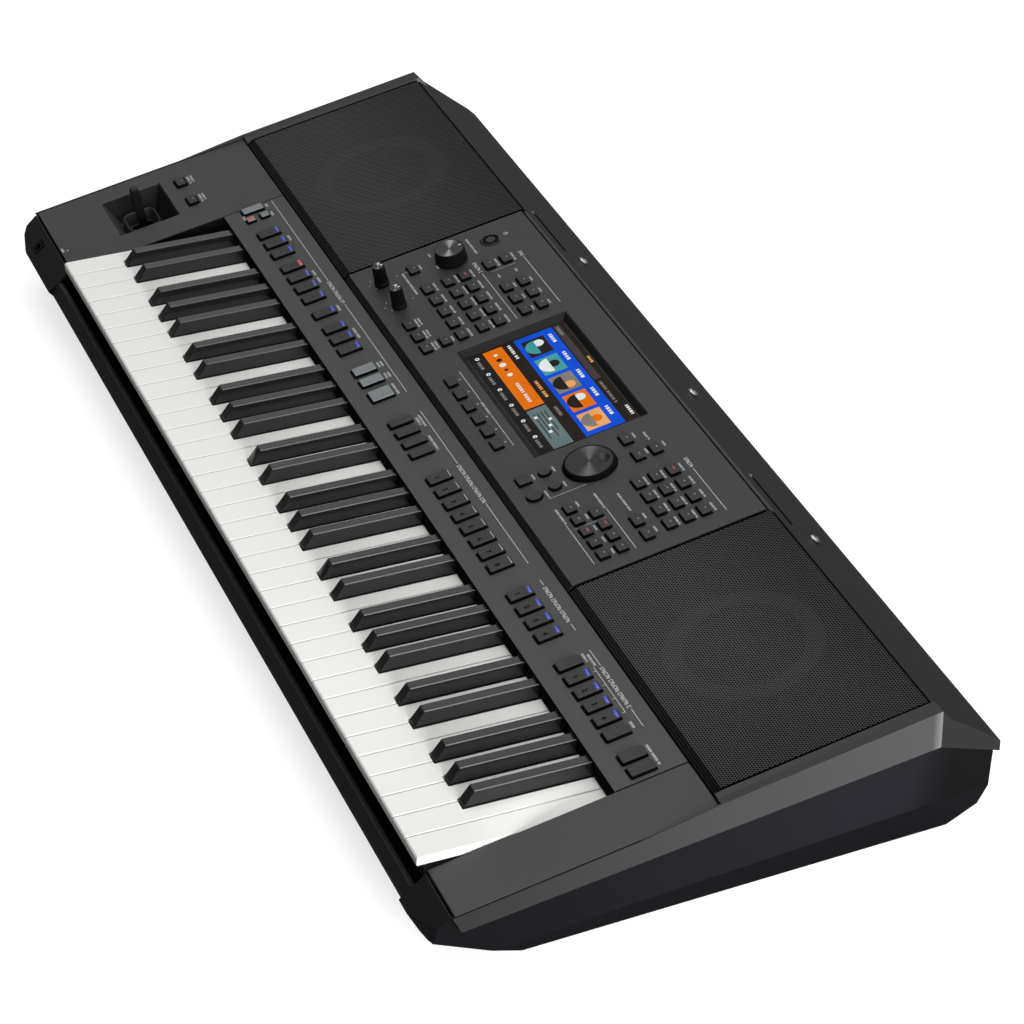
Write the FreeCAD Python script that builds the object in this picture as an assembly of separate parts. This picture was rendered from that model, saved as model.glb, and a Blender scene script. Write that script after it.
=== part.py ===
import FreeCAD, Part
import math
import os

# Arranger keyboard with 61 keys, stereo speakers and a colour touch screen.
# Frame: origin on the table under the middle of the case, +X to the right,
# +Y to the back, +Z up, millimetres.
V = FreeCAD.Vector

# Case
LEFT_BLOCK = 113.0          # left side of the case to the first key
RIGHT_BLOCK = 55.43         # last key to the right side of the case
REAR_RUN = 54.03            # crest to the back of the case
FOOT_HEIGHT = 4.5
LOWER_WALL = 3.0
UPPER_WALL = 5.0
TOP_SLOPE = 10.8            # degrees, the control surface rises to the back
REAR_SLOPE = 38.5           # degrees, behind the crest
BAND_FLARE = 1.83           # degrees, side bands lean out below the crease
CREASE_INSET = 0.8          # top crease inside the widest point of the side bands
RIM_FRONT = 3.2             # side rims above the control surface, by the strip
RIM_REAR = 4.0              # and at the crest
RIM_RAMP = 60.0             # length in which the rims rise beside the end blocks
RIM_TAIL = 8.0              # rims end this far down the rear slope
SEAM_INSET = 1.2            # top plates stop this far inside the crease
SEAM = 0.3                  # gap between neighbouring mouldings
PARTING_FRONT_SETBACK = 26.0
PARTING_FRONT_DROP = 24.0   # below the white key tops
BAND_DROP = 26.15           # height of the side bands at the crest
REAR_EDGE = 8.5             # upright rear edge of the upper case
REAR_LIP = 6.0              # rounded-over rear edge of the upper case
CORNER_INSET = 11.5         # rear corners are cut in this far at the back
CORNER_LEAN = 6.0           # and lean in this much more at the foot
SHADOW_GAP = 1.5            # lower case sits inside the side bands by this much
REAR_WALL_SETBACK = 4.0
RAIL_DROP = 33.0            # rail below the white key tops
RAIL_FRONT_DROP = 28.0
RAIL_BOTTOM_SETBACK = 4.0
KNEE_LENGTH = 74.0          # sloping front underside
REAR_KNEE_LENGTH = 18.0
REAR_KNEE_HEIGHT = 26.0
SIDE_CREASE_INSET = 14.5
SIDE_CREASE_Z = 33.0
SIDE_CREASE_RISE = 0.088
BOTTOM_INSET = 28.0
FRONT_CORNER = ((0.0, 12.5), (11.0, 6.0), (36.0, 0.0))    # from the side and from the front

# Keys
WHITE_KEYS = 36
OCTAVE_WIDTH = 165.0
KEY_GAP = 1.0
KEY_SETBACK = 15.0          # front rail to the white key fronts
KEY_TOP = 79.0
WHITE_DEPTH = 7.0           # skirt of a white key
WHITE_SKIN = 3.0
KEY_WALL = 2.0
WHITE_LENGTH = 151.0
BLACK_FRONT = 48.8
BLACK_RAKE = 8.0
BLACK_WIDTH = 10.5
BLACK_TOP_WIDTH = 8.6
BLACK_HEIGHT = 11.5
BLACK_CLEARANCE = 1.2
KEY_LIP = 1.2               # broken front edge of a white key
TOOTH_LENGTH = 39.0         # key ends to the flexing line of the combs
BAR_DEPTH = 9.5
BAR_HEIGHT = 2.0
BAR_GAP = 0.7
BAR_DROP = 0.5              # top bar below the white key tops
TOOTH_WIDTH = 7.0
KEY_SIDE_GAP = 0.9          # end keys to the end block walls
FALLBOARD_GAP = 1.5
NOTCH_GAP = 0.8
SLIP_HEIGHT = 13.0
SLIP_GAP = 1.5
SLIP_EDGE = 1.0

# Control surface, measured up the slope from the line of the key fronts
KEY_COVER = 5.0             # strip reaches this far over the key ends
BLACK_HEADROOM = 0.96       # black keys to the underside of the strip
BLOCK_FRONT = 5.0
STRIP_LENGTH = 55.5
STRIP_ROW_SHARE = 0.447     # place of the strip buttons along the strip
DECK_LENGTH = 167.0         # strip to the crest
PLATE = 2.5
CREST_LAND = 2.5
LEDGE = 5.0
PANEL_WIDTH = 479.0
PANEL_REAR_GAP = 2.5
PANEL_RAISE = 3.5
RISER = 4.5
GRILLE_GAP = 2.0
GRILLE_MARGIN = 13.2
GRILLE_SHEET = 1.2
GRILLE_RAISE = 3.0
GRILLE_ROLL = 6.5

# Screen
SCREEN_COLUMNS = 8.586      # in columns and rows of the panel's grid
SCREEN_ROWS = 6.59
SCREEN_ROW = 6.087
SCREEN_DEPTH = 5.0
SCREEN_BORDER = 5.0
BEZEL_LAND = 0.5
GLASS = 1.5
DISPLAY_THICKNESS = 6.0

# Buttons, knobs and the joystick
BUTTON_GAP = 0.4
BUTTON_PROUD = 1.8
BUTTON_DEEP = 4.0
BUTTON_DRAFT = 0.4          # each side of a cap, foot to top
LONG_BUTTON = (11.4, 19.0)
SLIM_BUTTON = (9.4, 19.0)
WIDE_BUTTON = (15.4, 19.0)
SMALL_BUTTON = (13.4, 8.2)
TINY_BUTTON = (8.0, 7.6)
PART_BUTTON = (11.2, 8.4)
SQUARE_BUTTON = (11.6, 10.6)
ROUND_BUTTON = 5.0
ENTER_BUTTON = 6.4
TINY_STEP = 6.3
JOYSTICK_BUTTON_STEP = 17.0
DIAL_RADIUS = 21.0
DIAL_HEIGHT = 4.0
DIAL_RING = 1.2
DIAL_EDGE = 1.5
DIMPLE_RADIUS = 7.0
DIMPLE_DEPTH = 1.2
VOLUME_RADIUS = 12.6
VOLUME_TOP_RADIUS = 11.6
VOLUME_HEIGHT = 12.5
LIVE_RADIUS = 6.4
LIVE_TOP_RADIUS = 5.2
LIVE_HEIGHT = 19.0
POWER_RADIUS = 6.5
POWER_RING = 2.6
POWER_RING_HEIGHT = 1.0
KNOB_LIFT = 0.6             # running gap under a knob
KNOB_FLUTES = 24
ROUND_SIDES = 16            # small round mouldings
DIAL_FLUTES = 40
SHAFT_RADIUS = 3.0
SHAFT_SPLINES = 8
SHAFT_LENGTH = 6.0
SHAFT_GAP = 0.3
WELL_SHARE = (0.478, 0.429)  # of the left block's width and length
WELL_MOUTH = (60.0, 54.0)
WELL_FLOOR = (36.0, 32.0)
WELL_DEPTH = 20.0
WELL_WALL = 2.0
WELL_SLOT = 18.0
PIVOT_DROP = 11.0
GIMBAL_SIZE = 22.0
GIMBAL_HEIGHT = 7.0
LEVER_ROOT = 10.0
LEVER_TIP = 16.0
LEVER_WIDTH = 7.0
LEVER_FLARE = 2.0           # tip thinner one way and wider the other
PIN_RADIUS = 1.6
PIN_GAP = 0.3

# Inside and behind
BOARD = 1.6
BOARD_DROP = 8.0
STRIP_POSTS = 4
POST = 6.0
SPEAKER_SHARE = 0.4255      # speaker radius over the grille's length
SPEAKER_DEPTH = 58.0
MAGNET_SHARE = 0.543        # of the speaker radius
SPEAKER_FLANGE = 4.0
SPEAKER_SHEET = 2.0
BASKET_SHARE = 0.6          # part of the depth taken by the basket
CONE_SHARE = 0.4            # part of the depth taken by the cone
CONE_WALL = 1.0
CONE_RIBS = 24
MAIN_BOARD = (-235.0, 60.0, 95.0)       # x from, x to, depth
AMP_BOARD = (105.0, 235.0, 80.0)
CHASSIS_SHEET = 2.0
CHASSIS_DROP = 23.0
CHASSIS_FRONT = 10.0
CHASSIS_POSTS = 3           # pairs
FOOT_SIZE = 22.0
FOOT_DRAFT = 1.6
JACK_BORE = 3.25
JACK_BODY = 14.0
JACK_LENGTH = 22.0
JACK_FLOOR = 2.0
JACK_PLACES = (-150.0, -125.0, -40.0, -15.0, 25.0, 50.0)
SOCKET_LENGTH = 16.0
SOCKET_FLOOR = 4.0
SOCKET_WALL = 0.8
SOCKET_PROUD = 0.5
TONGUE = 2.0
INLET_X = 150.0
INLET_BORE = 2.9
INLET_PIN = 1.0
INLET_BODY = (11.0, 14.0)
USB_A_SIZE = (14.5, 7.0)
USB_B_SIZE = (12.0, 10.8)
USB_A_X = -205.0
USB_B_X = -185.0
PHONE_SHARE = (0.4, 0.515)  # across the left block, down its front face
PHONE_BODY = 11.0
PHONE_LENGTH = 10.0
STUD_RADIUS = 3.2
STUD_HEIGHT = 2.6
STUD_XS = (-175.0, 45.0, 262.0)
SLOT_CENTRE = 216.0
SLOT_LENGTH = 72.0
SLOT_WIDTH = 3.2

# Values worked out from the sizes above
SIN = math.sin(math.radians(TOP_SLOPE))
COS = math.cos(math.radians(TOP_SLOPE))
PITCH = OCTAVE_WIDTH / 7
CASE_WIDTH = LEFT_BLOCK + WHITE_KEYS * PITCH + RIGHT_BLOCK
STRIP_FRONT = WHITE_LENGTH - KEY_COVER
STRIP_REAR = STRIP_FRONT + STRIP_LENGTH
STRIP_ROW = STRIP_FRONT + STRIP_ROW_SHARE * STRIP_LENGTH
CREST = STRIP_REAR + DECK_LENGTH
WINDOW_REAR = CREST - CREST_LAND
PANEL_REAR = WINDOW_REAR - PANEL_REAR_GAP
CASE_DEPTH = KEY_SETBACK + CREST * COS + REAR_RUN
HALF = CASE_WIDTH / 2
REAR = CASE_DEPTH / 2
FRONT = -REAR
KEY_Y = FRONT + KEY_SETBACK
TOP_Z = KEY_TOP + BLACK_HEIGHT + BLACK_HEADROOM + PLATE - STRIP_FRONT * SIN
RAIL_TOP_Z = KEY_TOP - RAIL_DROP
RAIL_FRONT_Z = KEY_TOP - RAIL_FRONT_DROP
CHASSIS_Z = KEY_TOP - CHASSIS_DROP
CREASE_X = HALF - CREASE_INSET
PANEL_HALF = PANEL_WIDTH / 2
GRILLE_INNER = PANEL_HALF + GRILLE_GAP
GRILLE_OUTER = CREASE_X - GRILLE_MARGIN
SPEAKER_V = (STRIP_REAR + WINDOW_REAR) / 2
SPEAKER_RADIUS = SPEAKER_SHARE * (WINDOW_REAR - STRIP_REAR)
MAGNET_RADIUS = MAGNET_SHARE * SPEAKER_RADIUS
KEYS_LEFT = -HALF + LEFT_BLOCK
KEYS_RIGHT = KEYS_LEFT + WHITE_KEYS * PITCH
WELL_LEFT = KEYS_LEFT + KEY_GAP / 2 - KEY_SIDE_GAP
WELL_RIGHT = KEYS_RIGHT - KEY_GAP / 2 + KEY_SIDE_GAP
WELL_PLACE = (-HALF + WELL_SHARE[0] * LEFT_BLOCK, WELL_SHARE[1] * STRIP_REAR)
HINGE_SETBACK = WHITE_LENGTH + TOOTH_LENGTH
HINGE_Y = KEY_Y + HINGE_SETBACK
FLOOR_Z = FOOT_HEIGHT + LOWER_WALL
BOARD_Z = FLOOR_Z + POST
REAR_WALL_Y = REAR - REAR_WALL_SETBACK
COLUMN = PANEL_WIDTH / 25           # grid of the centre panel
ROW = DECK_LENGTH / 11.5
SCREEN_WIDTH = SCREEN_COLUMNS * COLUMN
SCREEN_LENGTH = SCREEN_ROWS * ROW
SCREEN_V = STRIP_REAR + SCREEN_ROW * ROW
FAR = 3000.0
BLACK_STEPS = (0.9, 2.1, 27 / 7, 5.0, 43 / 7)


def top_yz(v, w=0.0):
    """Place in the YZ plane of a point v up the control surface and w above it."""
    return KEY_Y + v * COS - w * SIN, TOP_Z + v * SIN + w * COS


def on_top(shape):
    """Moves a shape modelled flat, as x, v, w, on to the sloping control surface."""
    shape.rotate(V(0, 0, 0), V(1, 0, 0), TOP_SLOPE)
    shape.translate(V(0, KEY_Y, TOP_Z))
    return shape


def block(x0, x1, y0, y1, z0, z1):
    return Part.makeBox(x1 - x0, y1 - y0, z1 - z0, V(x0, y0, z0))


def outline(points):
    return Part.makePolygon(list(points) + [points[0]])


def side_face(points, x):
    """Face in the YZ plane at x through (y, z) points."""
    return Part.Face(outline([V(x, y, z) for y, z in points]))


def prism(points, x0, x1, inset=0.0):
    """A (y, z) outline drawn along X, its outline moved in by inset."""
    face = side_face(points, x0)
    if inset:
        face = face.makeOffset2D(-inset, join=2)
    return face.extrude(V(x1 - x0, 0, 0))


def skin(lower, upper):
    """Flat-sided solid between two matching rings of points."""
    faces = [Part.Face(outline(lower)), Part.Face(outline(upper))]
    for i, point in enumerate(lower):
        faces.append(Part.Face(outline([lower[i - 1], point, upper[i], upper[i - 1]])))
    solid = Part.Solid(Part.Shell(faces))
    if solid.Volume < 0:
        solid.reverse()
    return solid


def rectangle(centre, size, w):
    x, v = centre
    a, b = size[0] / 2, size[1] / 2
    return [V(x - a, v - b, w), V(x + a, v - b, w), V(x + a, v + b, w), V(x - a, v + b, w)]


def frustum(centre, size0, w0, size1, w1):
    """Solid between two rectangles, w0 below w1."""
    return skin(rectangle(centre, size0, w0), rectangle(centre, size1, w1))


def beyond(a, b, c, inset=0.0):
    """Everything past the plane through three points, on the side away from the case's middle."""
    normal = (b - a).cross(c - a)
    normal.normalize()
    inner = V(0, 0, KEY_TOP)
    if normal.dot(inner - a) > 0:
        normal = normal * -1
    block_out = Part.makeBox(FAR, FAR, FAR, V(-FAR / 2, -FAR / 2, 0))
    turn = FreeCAD.Rotation(V(0, 0, 1), normal)
    block_out.Placement = FreeCAD.Placement(a - normal * inset, turn)
    return block_out


def mirrored(point, side):
    return V(side * point.x, point.y, point.z)


def cut_both_sides(solid, triples, inset=0.0):
    """Cuts a solid by planes given for the right side and by their mirror images."""
    for side in (1, -1):
        for triple in triples:
            solid = solid.cut(beyond(*[mirrored(p, side) for p in triple], inset))
    return solid


def polygon(centre, radius, w, sides):
    """Ring of points on a circle about the surface normal."""
    x, v = centre
    angles = [2 * math.pi * i / sides for i in range(sides)]
    return [V(x + radius * math.cos(a), v + radius * math.sin(a), w) for a in angles]


def tapered(centre, radius0, w0, radius1, w1, sides):
    """Drafted solid with flat flutes, w0 below w1."""
    return skin(polygon(centre, radius0, w0, sides), polygon(centre, radius1, w1, sides))


def round_hole(place, radius):
    """Round cutter along the surface normal."""
    return Part.makeCylinder(radius, 2 * SPEAKER_DEPTH, V(*place, -SPEAKER_DEPTH))


def many_sided_hole(place, radius):
    """Cutter for a moulded hole round a shaft or a round cap."""
    return tapered(place, radius, -BOARD_DROP, radius, BOARD_DROP, ROUND_SIDES)


def drilled(shape, tools):
    return shape.cut(Part.makeCompound(tools)) if tools else shape


# Upper case, with the seats for the top plates

CREST_Y, CREST_Z = top_yz(CREST)
PARTING_FRONT_Y = FRONT + PARTING_FRONT_SETBACK
PARTING_FRONT_Z = KEY_TOP - PARTING_FRONT_DROP
PARTING_CREST_Z = CREST_Z - BAND_DROP
REAR_TOP_Z = CREST_Z - (REAR_RUN - REAR_LIP) * math.tan(math.radians(REAR_SLOPE))
PARTING_REAR_Z = REAR_TOP_Z - REAR_LIP - REAR_EDGE
SOCKET_Z = (REAR_KNEE_HEIGHT + PARTING_REAR_Z) / 2
BAND_WIDEST = CREASE_X + BAND_DROP * math.tan(math.radians(BAND_FLARE))


def band_triple():
    """Side band plane: holds the crease and leans out below it."""
    y0, z0 = top_yz(0)
    y1, z1 = top_yz(CREST)
    lean = math.tan(math.radians(BAND_FLARE)) * BAND_DROP
    y2, z2 = top_yz(CREST, -BAND_DROP)
    return V(CREASE_X, y0, z0), V(CREASE_X, y1, z1), V(CREASE_X + lean, y2, z2)


def upper_corner_triple():
    a = V(CREASE_X, CREST_Y, CREST_Z)
    b = V(BAND_WIDEST, CREST_Y, PARTING_CREST_Z)
    c = V(BAND_WIDEST - CORNER_INSET, REAR, PARTING_REAR_Z)
    return a, b, c


def upper_form(inset, drop):
    """Outer form of the upper case, moved in by inset and with its underside lowered by drop."""
    points = [top_yz(BLOCK_FRONT), (CREST_Y, CREST_Z), (REAR - REAR_LIP, REAR_TOP_Z),
              (REAR, REAR_TOP_Z - REAR_LIP), (REAR, PARTING_REAR_Z - drop),
              (CREST_Y, PARTING_CREST_Z - drop), (PARTING_FRONT_Y, PARTING_FRONT_Z - drop)]
    form = prism(points, -HALF - LEDGE, HALF + LEDGE, inset)
    if not inset:
        form = form.fuse(side_rims())
    return cut_both_sides(form, [band_triple(), upper_corner_triple()], inset)


def side_rims():
    """Raised rims outside the grilles, with a ramp beside each end block and a tail behind the crest."""
    tail = RIM_TAIL * math.tan(math.radians(REAR_SLOPE))
    foot = STRIP_REAR - RIM_RAMP
    points = [top_yz(foot), top_yz(STRIP_REAR, RIM_FRONT), top_yz(CREST, RIM_REAR),
              (CREST_Y + RIM_TAIL, CREST_Z - tail), top_yz(CREST, -PLATE), top_yz(foot, -PLATE)]
    inner, outer = GRILLE_OUTER + SEAM, HALF + LEDGE
    return [prism(points, inner, outer), prism(points, -outer, -inner)]


def rest_slots():
    """Two slots behind the crest that take the tongues of a music rest."""
    y = CREST_Y + 2 * UPPER_WALL
    tools = []
    for side in (1, -1):
        x = side * SLOT_CENTRE
        tools.append(block(x - SLOT_LENGTH / 2, x + SLOT_LENGTH / 2,
                           y - SLOT_WIDTH / 2, y + SLOT_WIDTH / 2, CREST_Z - BAND_DROP, CREST_Z))
    return tools


def speaker_x(side):
    return side * (GRILLE_INNER + GRILLE_OUTER) / 2


def upper_case():
    """Drafted shell whose top wall is opened for the controls and holed for the speakers."""
    shell = upper_form(0, 0).cut(upper_form(UPPER_WALL, 2 * BAND_DROP))
    seam_x = CREASE_X - SEAM_INSET
    window_x = GRILLE_OUTER + SEAM
    panel_x = PANEL_HALF - LEDGE
    lid = BAND_DROP
    seats = [block(-seam_x, seam_x, -lid, STRIP_REAR + SEAM, -PLATE, lid),
             block(-seam_x + LEDGE, seam_x - LEDGE, -lid, STRIP_REAR + SEAM + LEDGE, -lid, lid),
             block(-window_x, window_x, STRIP_REAR, WINDOW_REAR + SEAM, -PLATE, lid),
             block(-panel_x, panel_x, STRIP_REAR, WINDOW_REAR - LEDGE, -lid, lid)]
    seats += [round_hole((speaker_x(side), SPEAKER_V), SPEAKER_RADIUS - SPEAKER_FLANGE) for side in (1, -1)]
    shell = drilled(shell, [on_top(seat) for seat in seats])
    return drilled(shell, rest_slots())


# Lower case: a drafted tub with a sloping front underside and cut rear corners

def lower_triples():
    wall_x = BAND_WIDEST - SHADOW_GAP
    crease_x = BAND_WIDEST - SIDE_CREASE_INSET
    bottom_x = BAND_WIDEST - BOTTOM_INSET
    rise = SIDE_CREASE_RISE * REAR
    crease_mid = V(crease_x, 0, SIDE_CREASE_Z)
    crease_rear = V(crease_x, REAR, SIDE_CREASE_Z + rise)
    flank = (V(wall_x, CREST_Y, PARTING_CREST_Z), crease_mid, crease_rear)
    under = (crease_mid, crease_rear, V(bottom_x, 0, FOOT_HEIGHT))
    back_x = wall_x - CORNER_INSET
    corner = (V(wall_x, CREST_Y, PARTING_CREST_Z), V(wall_x - CORNER_LEAN, CREST_Y, FOOT_HEIGHT),
              V(back_x, REAR_WALL_Y, PARTING_REAR_Z))
    return [flank, under, corner] + nose_triples(wall_x)


def nose_triples(wall_x):
    """Upright planes that round the front corners in plan."""
    ends = [(wall_x - inset, FRONT + setback) for inset, setback in FRONT_CORNER]
    return [(V(x0, y0, 0), V(x0, y0, KEY_TOP), V(x1, y1, 0)) for (x0, y0), (x1, y1) in zip(ends, ends[1:])]


def lower_form(inset, rise):
    """Outer form of the lower case, moved in by inset and with its open top raised by rise."""
    back = REAR_WALL_Y
    cheek_y, cheek_z = top_yz(BLOCK_FRONT)
    lean = (cheek_y - FRONT) / (cheek_z - RAIL_FRONT_Z)
    points = [(cheek_y + lean * rise, cheek_z + rise), (FRONT, RAIL_FRONT_Z),
              (FRONT + RAIL_BOTTOM_SETBACK, RAIL_TOP_Z),
              (FRONT + RAIL_BOTTOM_SETBACK + KNEE_LENGTH, FOOT_HEIGHT),
              (back - REAR_KNEE_LENGTH, FOOT_HEIGHT), (back, REAR_KNEE_HEIGHT),
              (back, PARTING_REAR_Z + rise), (CREST_Y, PARTING_CREST_Z + rise)]
    if not rise:
        points.append((PARTING_FRONT_Y, PARTING_FRONT_Z))
    form = prism(points, -HALF - LEDGE, HALF + LEDGE, inset)
    return cut_both_sides(form, lower_triples(), inset)


def chassis_posts():
    """Posts on the floor that carry the key chassis."""
    foot, head = (2 * POST, 2 * POST), (POST, POST)
    xs = [KEYS_LEFT + (KEYS_RIGHT - KEYS_LEFT) * (i + 0.5) / CHASSIS_POSTS for i in range(CHASSIS_POSTS)]
    ys = (KEY_Y + HINGE_SETBACK / 2, HINGE_Y)
    return [frustum((x, y), foot, FOOT_HEIGHT, head, CHASSIS_Z) for x in xs for y in ys]


def board_rect(board):
    """Sides of a board that lies on posts in front of the rear wall."""
    x0, x1, depth = board
    y1 = REAR_WALL_Y - LOWER_WALL - REAR_KNEE_LENGTH
    return x0, x1, y1 - depth, y1


def board_posts(board):
    x0, x1, y0, y1 = board_rect(board)
    foot, head = (1.5 * POST, 1.5 * POST), (POST, POST)
    places = [(x, y) for x in (x0 + POST, x1 - POST) for y in (y0 + POST, y1 - POST)]
    return [frustum(place, foot, FOOT_HEIGHT, head, BOARD_Z) for place in places]


def rear_wall_slot(x, z, size):
    width, height = size[0] + 2 * SEAM, size[1] + 2 * SEAM
    return block(x - width / 2, x + width / 2, REAR_WALL_Y - 2 * LOWER_WALL, REAR_WALL_Y + LOWER_WALL,
                 z - height / 2, z + height / 2)


def grown(size, gap):
    return size[0] + 2 * gap, size[1] + 2 * gap


def lower_case():
    """Tub with its posts, opened at the front for the keys and behind for the sockets."""
    tub = lower_form(0, 0).cut(lower_form(LOWER_WALL, BAND_DROP))
    tub = tub.fuse(chassis_posts() + board_posts(MAIN_BOARD) + board_posts(AMP_BOARD))
    side = PLATE + SEAM
    cuts = [block(WELL_LEFT - side, WELL_RIGHT + side, FRONT, KEY_Y + 2 * LEDGE, RAIL_TOP_Z, KEY_TOP)]
    cuts += [rear_wall_slot(x, SOCKET_Z, (JACK_BODY, JACK_BODY)) for x in JACK_PLACES]
    cuts.append(rear_wall_slot(INLET_X, SOCKET_Z, INLET_BODY))
    cuts.append(rear_wall_slot(USB_A_X, SOCKET_Z, USB_A_SIZE))
    cuts.append(rear_wall_slot(USB_B_X, SOCKET_Z, USB_B_SIZE))
    cuts.append(phone_block(SEAM, -2 * LOWER_WALL, 2 * LOWER_WALL))
    return drilled(tub, cuts)


# End blocks, key slip and control strip

def plate(x0, x1, v0, v1):
    return block(x0, x1, v0, v1, -PLATE, 0)


def key_side_wall(x0, x1):
    """Wall between an end block and the end key."""
    y0, z0 = top_yz(BLOCK_FRONT + SEAM, -PLATE)
    y1, z1 = top_yz(STRIP_REAR, -PLATE)
    foot = KEY_TOP - 2 * WHITE_DEPTH
    y0 = max(y0, KEY_Y + LEDGE + SEAM)
    z0 = TOP_Z + (y0 - KEY_Y) * SIN / COS - PLATE / COS
    return prism([(y0, min(z0, foot)), (y0, z0), (y1, z1), (y1, foot)], x0, x1)


def button_hole(place):
    x, v, width, length = place
    size = grown((width, length), BUTTON_GAP)
    return frustum((x, v), size, -BOARD_DROP, size, BOARD_DROP)


def joystick_well():
    """Tapered well with a slotted floor and two ears for the gimbal pins."""
    mouth = grown(WELL_MOUTH, WELL_WALL)
    floor = grown(WELL_FLOOR, WELL_WALL)
    well = frustum(WELL_PLACE, floor, -WELL_DEPTH - WELL_WALL, mouth, 0)
    x, v = WELL_PLACE
    ear = GIMBAL_SIZE / 2 + PIN_GAP
    low = -WELL_DEPTH - PIVOT_DROP - 3 * PIN_RADIUS
    for side in (1, -1):
        near = v + side * ear
        far = near + side * WELL_WALL
        v0, v1 = sorted((near, far))
        well = well.fuse(block(x - 3 * PIN_RADIUS, x + 3 * PIN_RADIUS, v0, v1, low, -WELL_DEPTH))
    well = well.cut(frustum(WELL_PLACE, WELL_FLOOR, -WELL_DEPTH, WELL_MOUTH, 0))
    slot = (WELL_SLOT, WELL_SLOT)
    well = well.cut(frustum(WELL_PLACE, slot, -WELL_DEPTH - 2 * WELL_WALL, slot, 0))
    bore = Part.makeCylinder(PIN_RADIUS + PIN_GAP, 2 * GIMBAL_SIZE,
                             V(x, v - GIMBAL_SIZE, -WELL_DEPTH - PIVOT_DROP), V(0, 1, 0))
    return well.cut(bore)


def left_end_block():
    top = plate(-CREASE_X + SEAM_INSET + SEAM, WELL_LEFT, BLOCK_FRONT + PLATE / 2, STRIP_REAR)
    top = top.cut(frustum(WELL_PLACE, WELL_MOUTH, -PLATE, WELL_MOUTH, 0))
    top = drilled(top, [button_hole(b) for b in JOYSTICK_BUTTONS])
    top = top.fuse(joystick_well())
    return on_top(top).fuse(key_side_wall(WELL_LEFT - PLATE, WELL_LEFT)).removeSplitter()


def right_end_block():
    top = plate(WELL_RIGHT, CREASE_X - SEAM_INSET - SEAM, BLOCK_FRONT + PLATE / 2, STRIP_REAR)
    return on_top(top).fuse(key_side_wall(WELL_RIGHT, WELL_RIGHT + PLATE)).removeSplitter()


def key_slip():
    """Low strip on the front rail, closing the gap under the key fronts."""
    back = KEY_Y - SLIP_GAP
    top = RAIL_TOP_Z + SLIP_HEIGHT
    front = FRONT + RAIL_BOTTOM_SETBACK
    points = [(front, RAIL_TOP_Z), (front, RAIL_FRONT_Z), (back - RAIL_BOTTOM_SETBACK, top),
              (back, top - SLIP_EDGE), (back, RAIL_TOP_Z)]
    return prism(points, WELL_LEFT - PLATE, WELL_RIGHT + PLATE)


def black_centres():
    centres = []
    for octave in range(WHITE_KEYS // 7):
        centres += [KEYS_LEFT + OCTAVE_WIDTH * octave + PITCH * step for step in BLACK_STEPS]
    return centres


def fallboard_notches():
    half = BLACK_WIDTH / 2 + NOTCH_GAP
    y, _ = top_yz(STRIP_FRONT)
    top = KEY_TOP + BLACK_HEIGHT + NOTCH_GAP
    return [block(x - half, x + half, y - 4 * PLATE, y + 4 * PLATE, KEY_TOP, top) for x in black_centres()]


def control_strip():
    """Button strip with a fallboard that drops to the keys and clears each black key."""
    left, right = WELL_LEFT + SEAM, WELL_RIGHT - SEAM
    top = plate(left, right, STRIP_FRONT, STRIP_REAR - SEAM)
    top = drilled(top, [button_hole(b) for b in STRIP_BUTTONS])
    posts = [post((x, STRIP_REAR - 1.5 * POST), -PLATE) for x in strip_post_xs()]
    top = on_top(top.fuse(posts))
    y, z = top_yz(STRIP_FRONT)
    low = KEY_TOP + FALLBOARD_GAP
    wall = prism([(y, low), (y, z), (y + PLATE, z), (y + PLATE, low)], left, right)
    lid = on_top(block(left, right, STRIP_FRONT - PLATE, STRIP_REAR, 0, 4 * PLATE))
    return drilled(top.fuse(wall.cut(lid)), fallboard_notches()).removeSplitter()


def strip_post_xs():
    """Posts in the gaps between the groups of strip buttons, by the board they carry."""
    return [WELL_LEFT + (WELL_RIGHT - WELL_LEFT) * (i + 0.5) / STRIP_POSTS for i in range(STRIP_POSTS)]


def post(place, top):
    """Moulded post from the underside of a plate down to a circuit board."""
    return frustum(place, (POST, POST), -BOARD_DROP, (POST, POST), top)


# Centre panel and speaker grilles

def tray(x0, x1, v0, v1, raised, roll, sheet):
    """Shallow formed cover, open below, with its front edge rolled down to the surface."""
    points = [(v0, -PLATE), (v0, 0), (v0 + roll, raised), (v1, raised), (v1, -PLATE)]
    low = -PLATE - 2 * sheet
    inner = [(v0, low), (v0, 0), (v0 + roll, raised), (v1, raised), (v1, low)]
    return prism(points, x0, x1).cut(prism(inner, x0 + sheet, x1 - sheet, sheet))


def screen_opening(gap=0.0):
    size = grown((SCREEN_WIDTH, SCREEN_LENGTH), gap)
    return frustum((0.0, SCREEN_V), size, -4 * BOARD_DROP, size, 4 * BOARD_DROP)


def panel_post_places():
    v0, v1 = STRIP_REAR + RISER + POST, PANEL_REAR - POST
    x = PANEL_HALF - LEDGE - POST
    return [(-x, v0), (x, v0), (-x, v1), (x, v1)]


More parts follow.
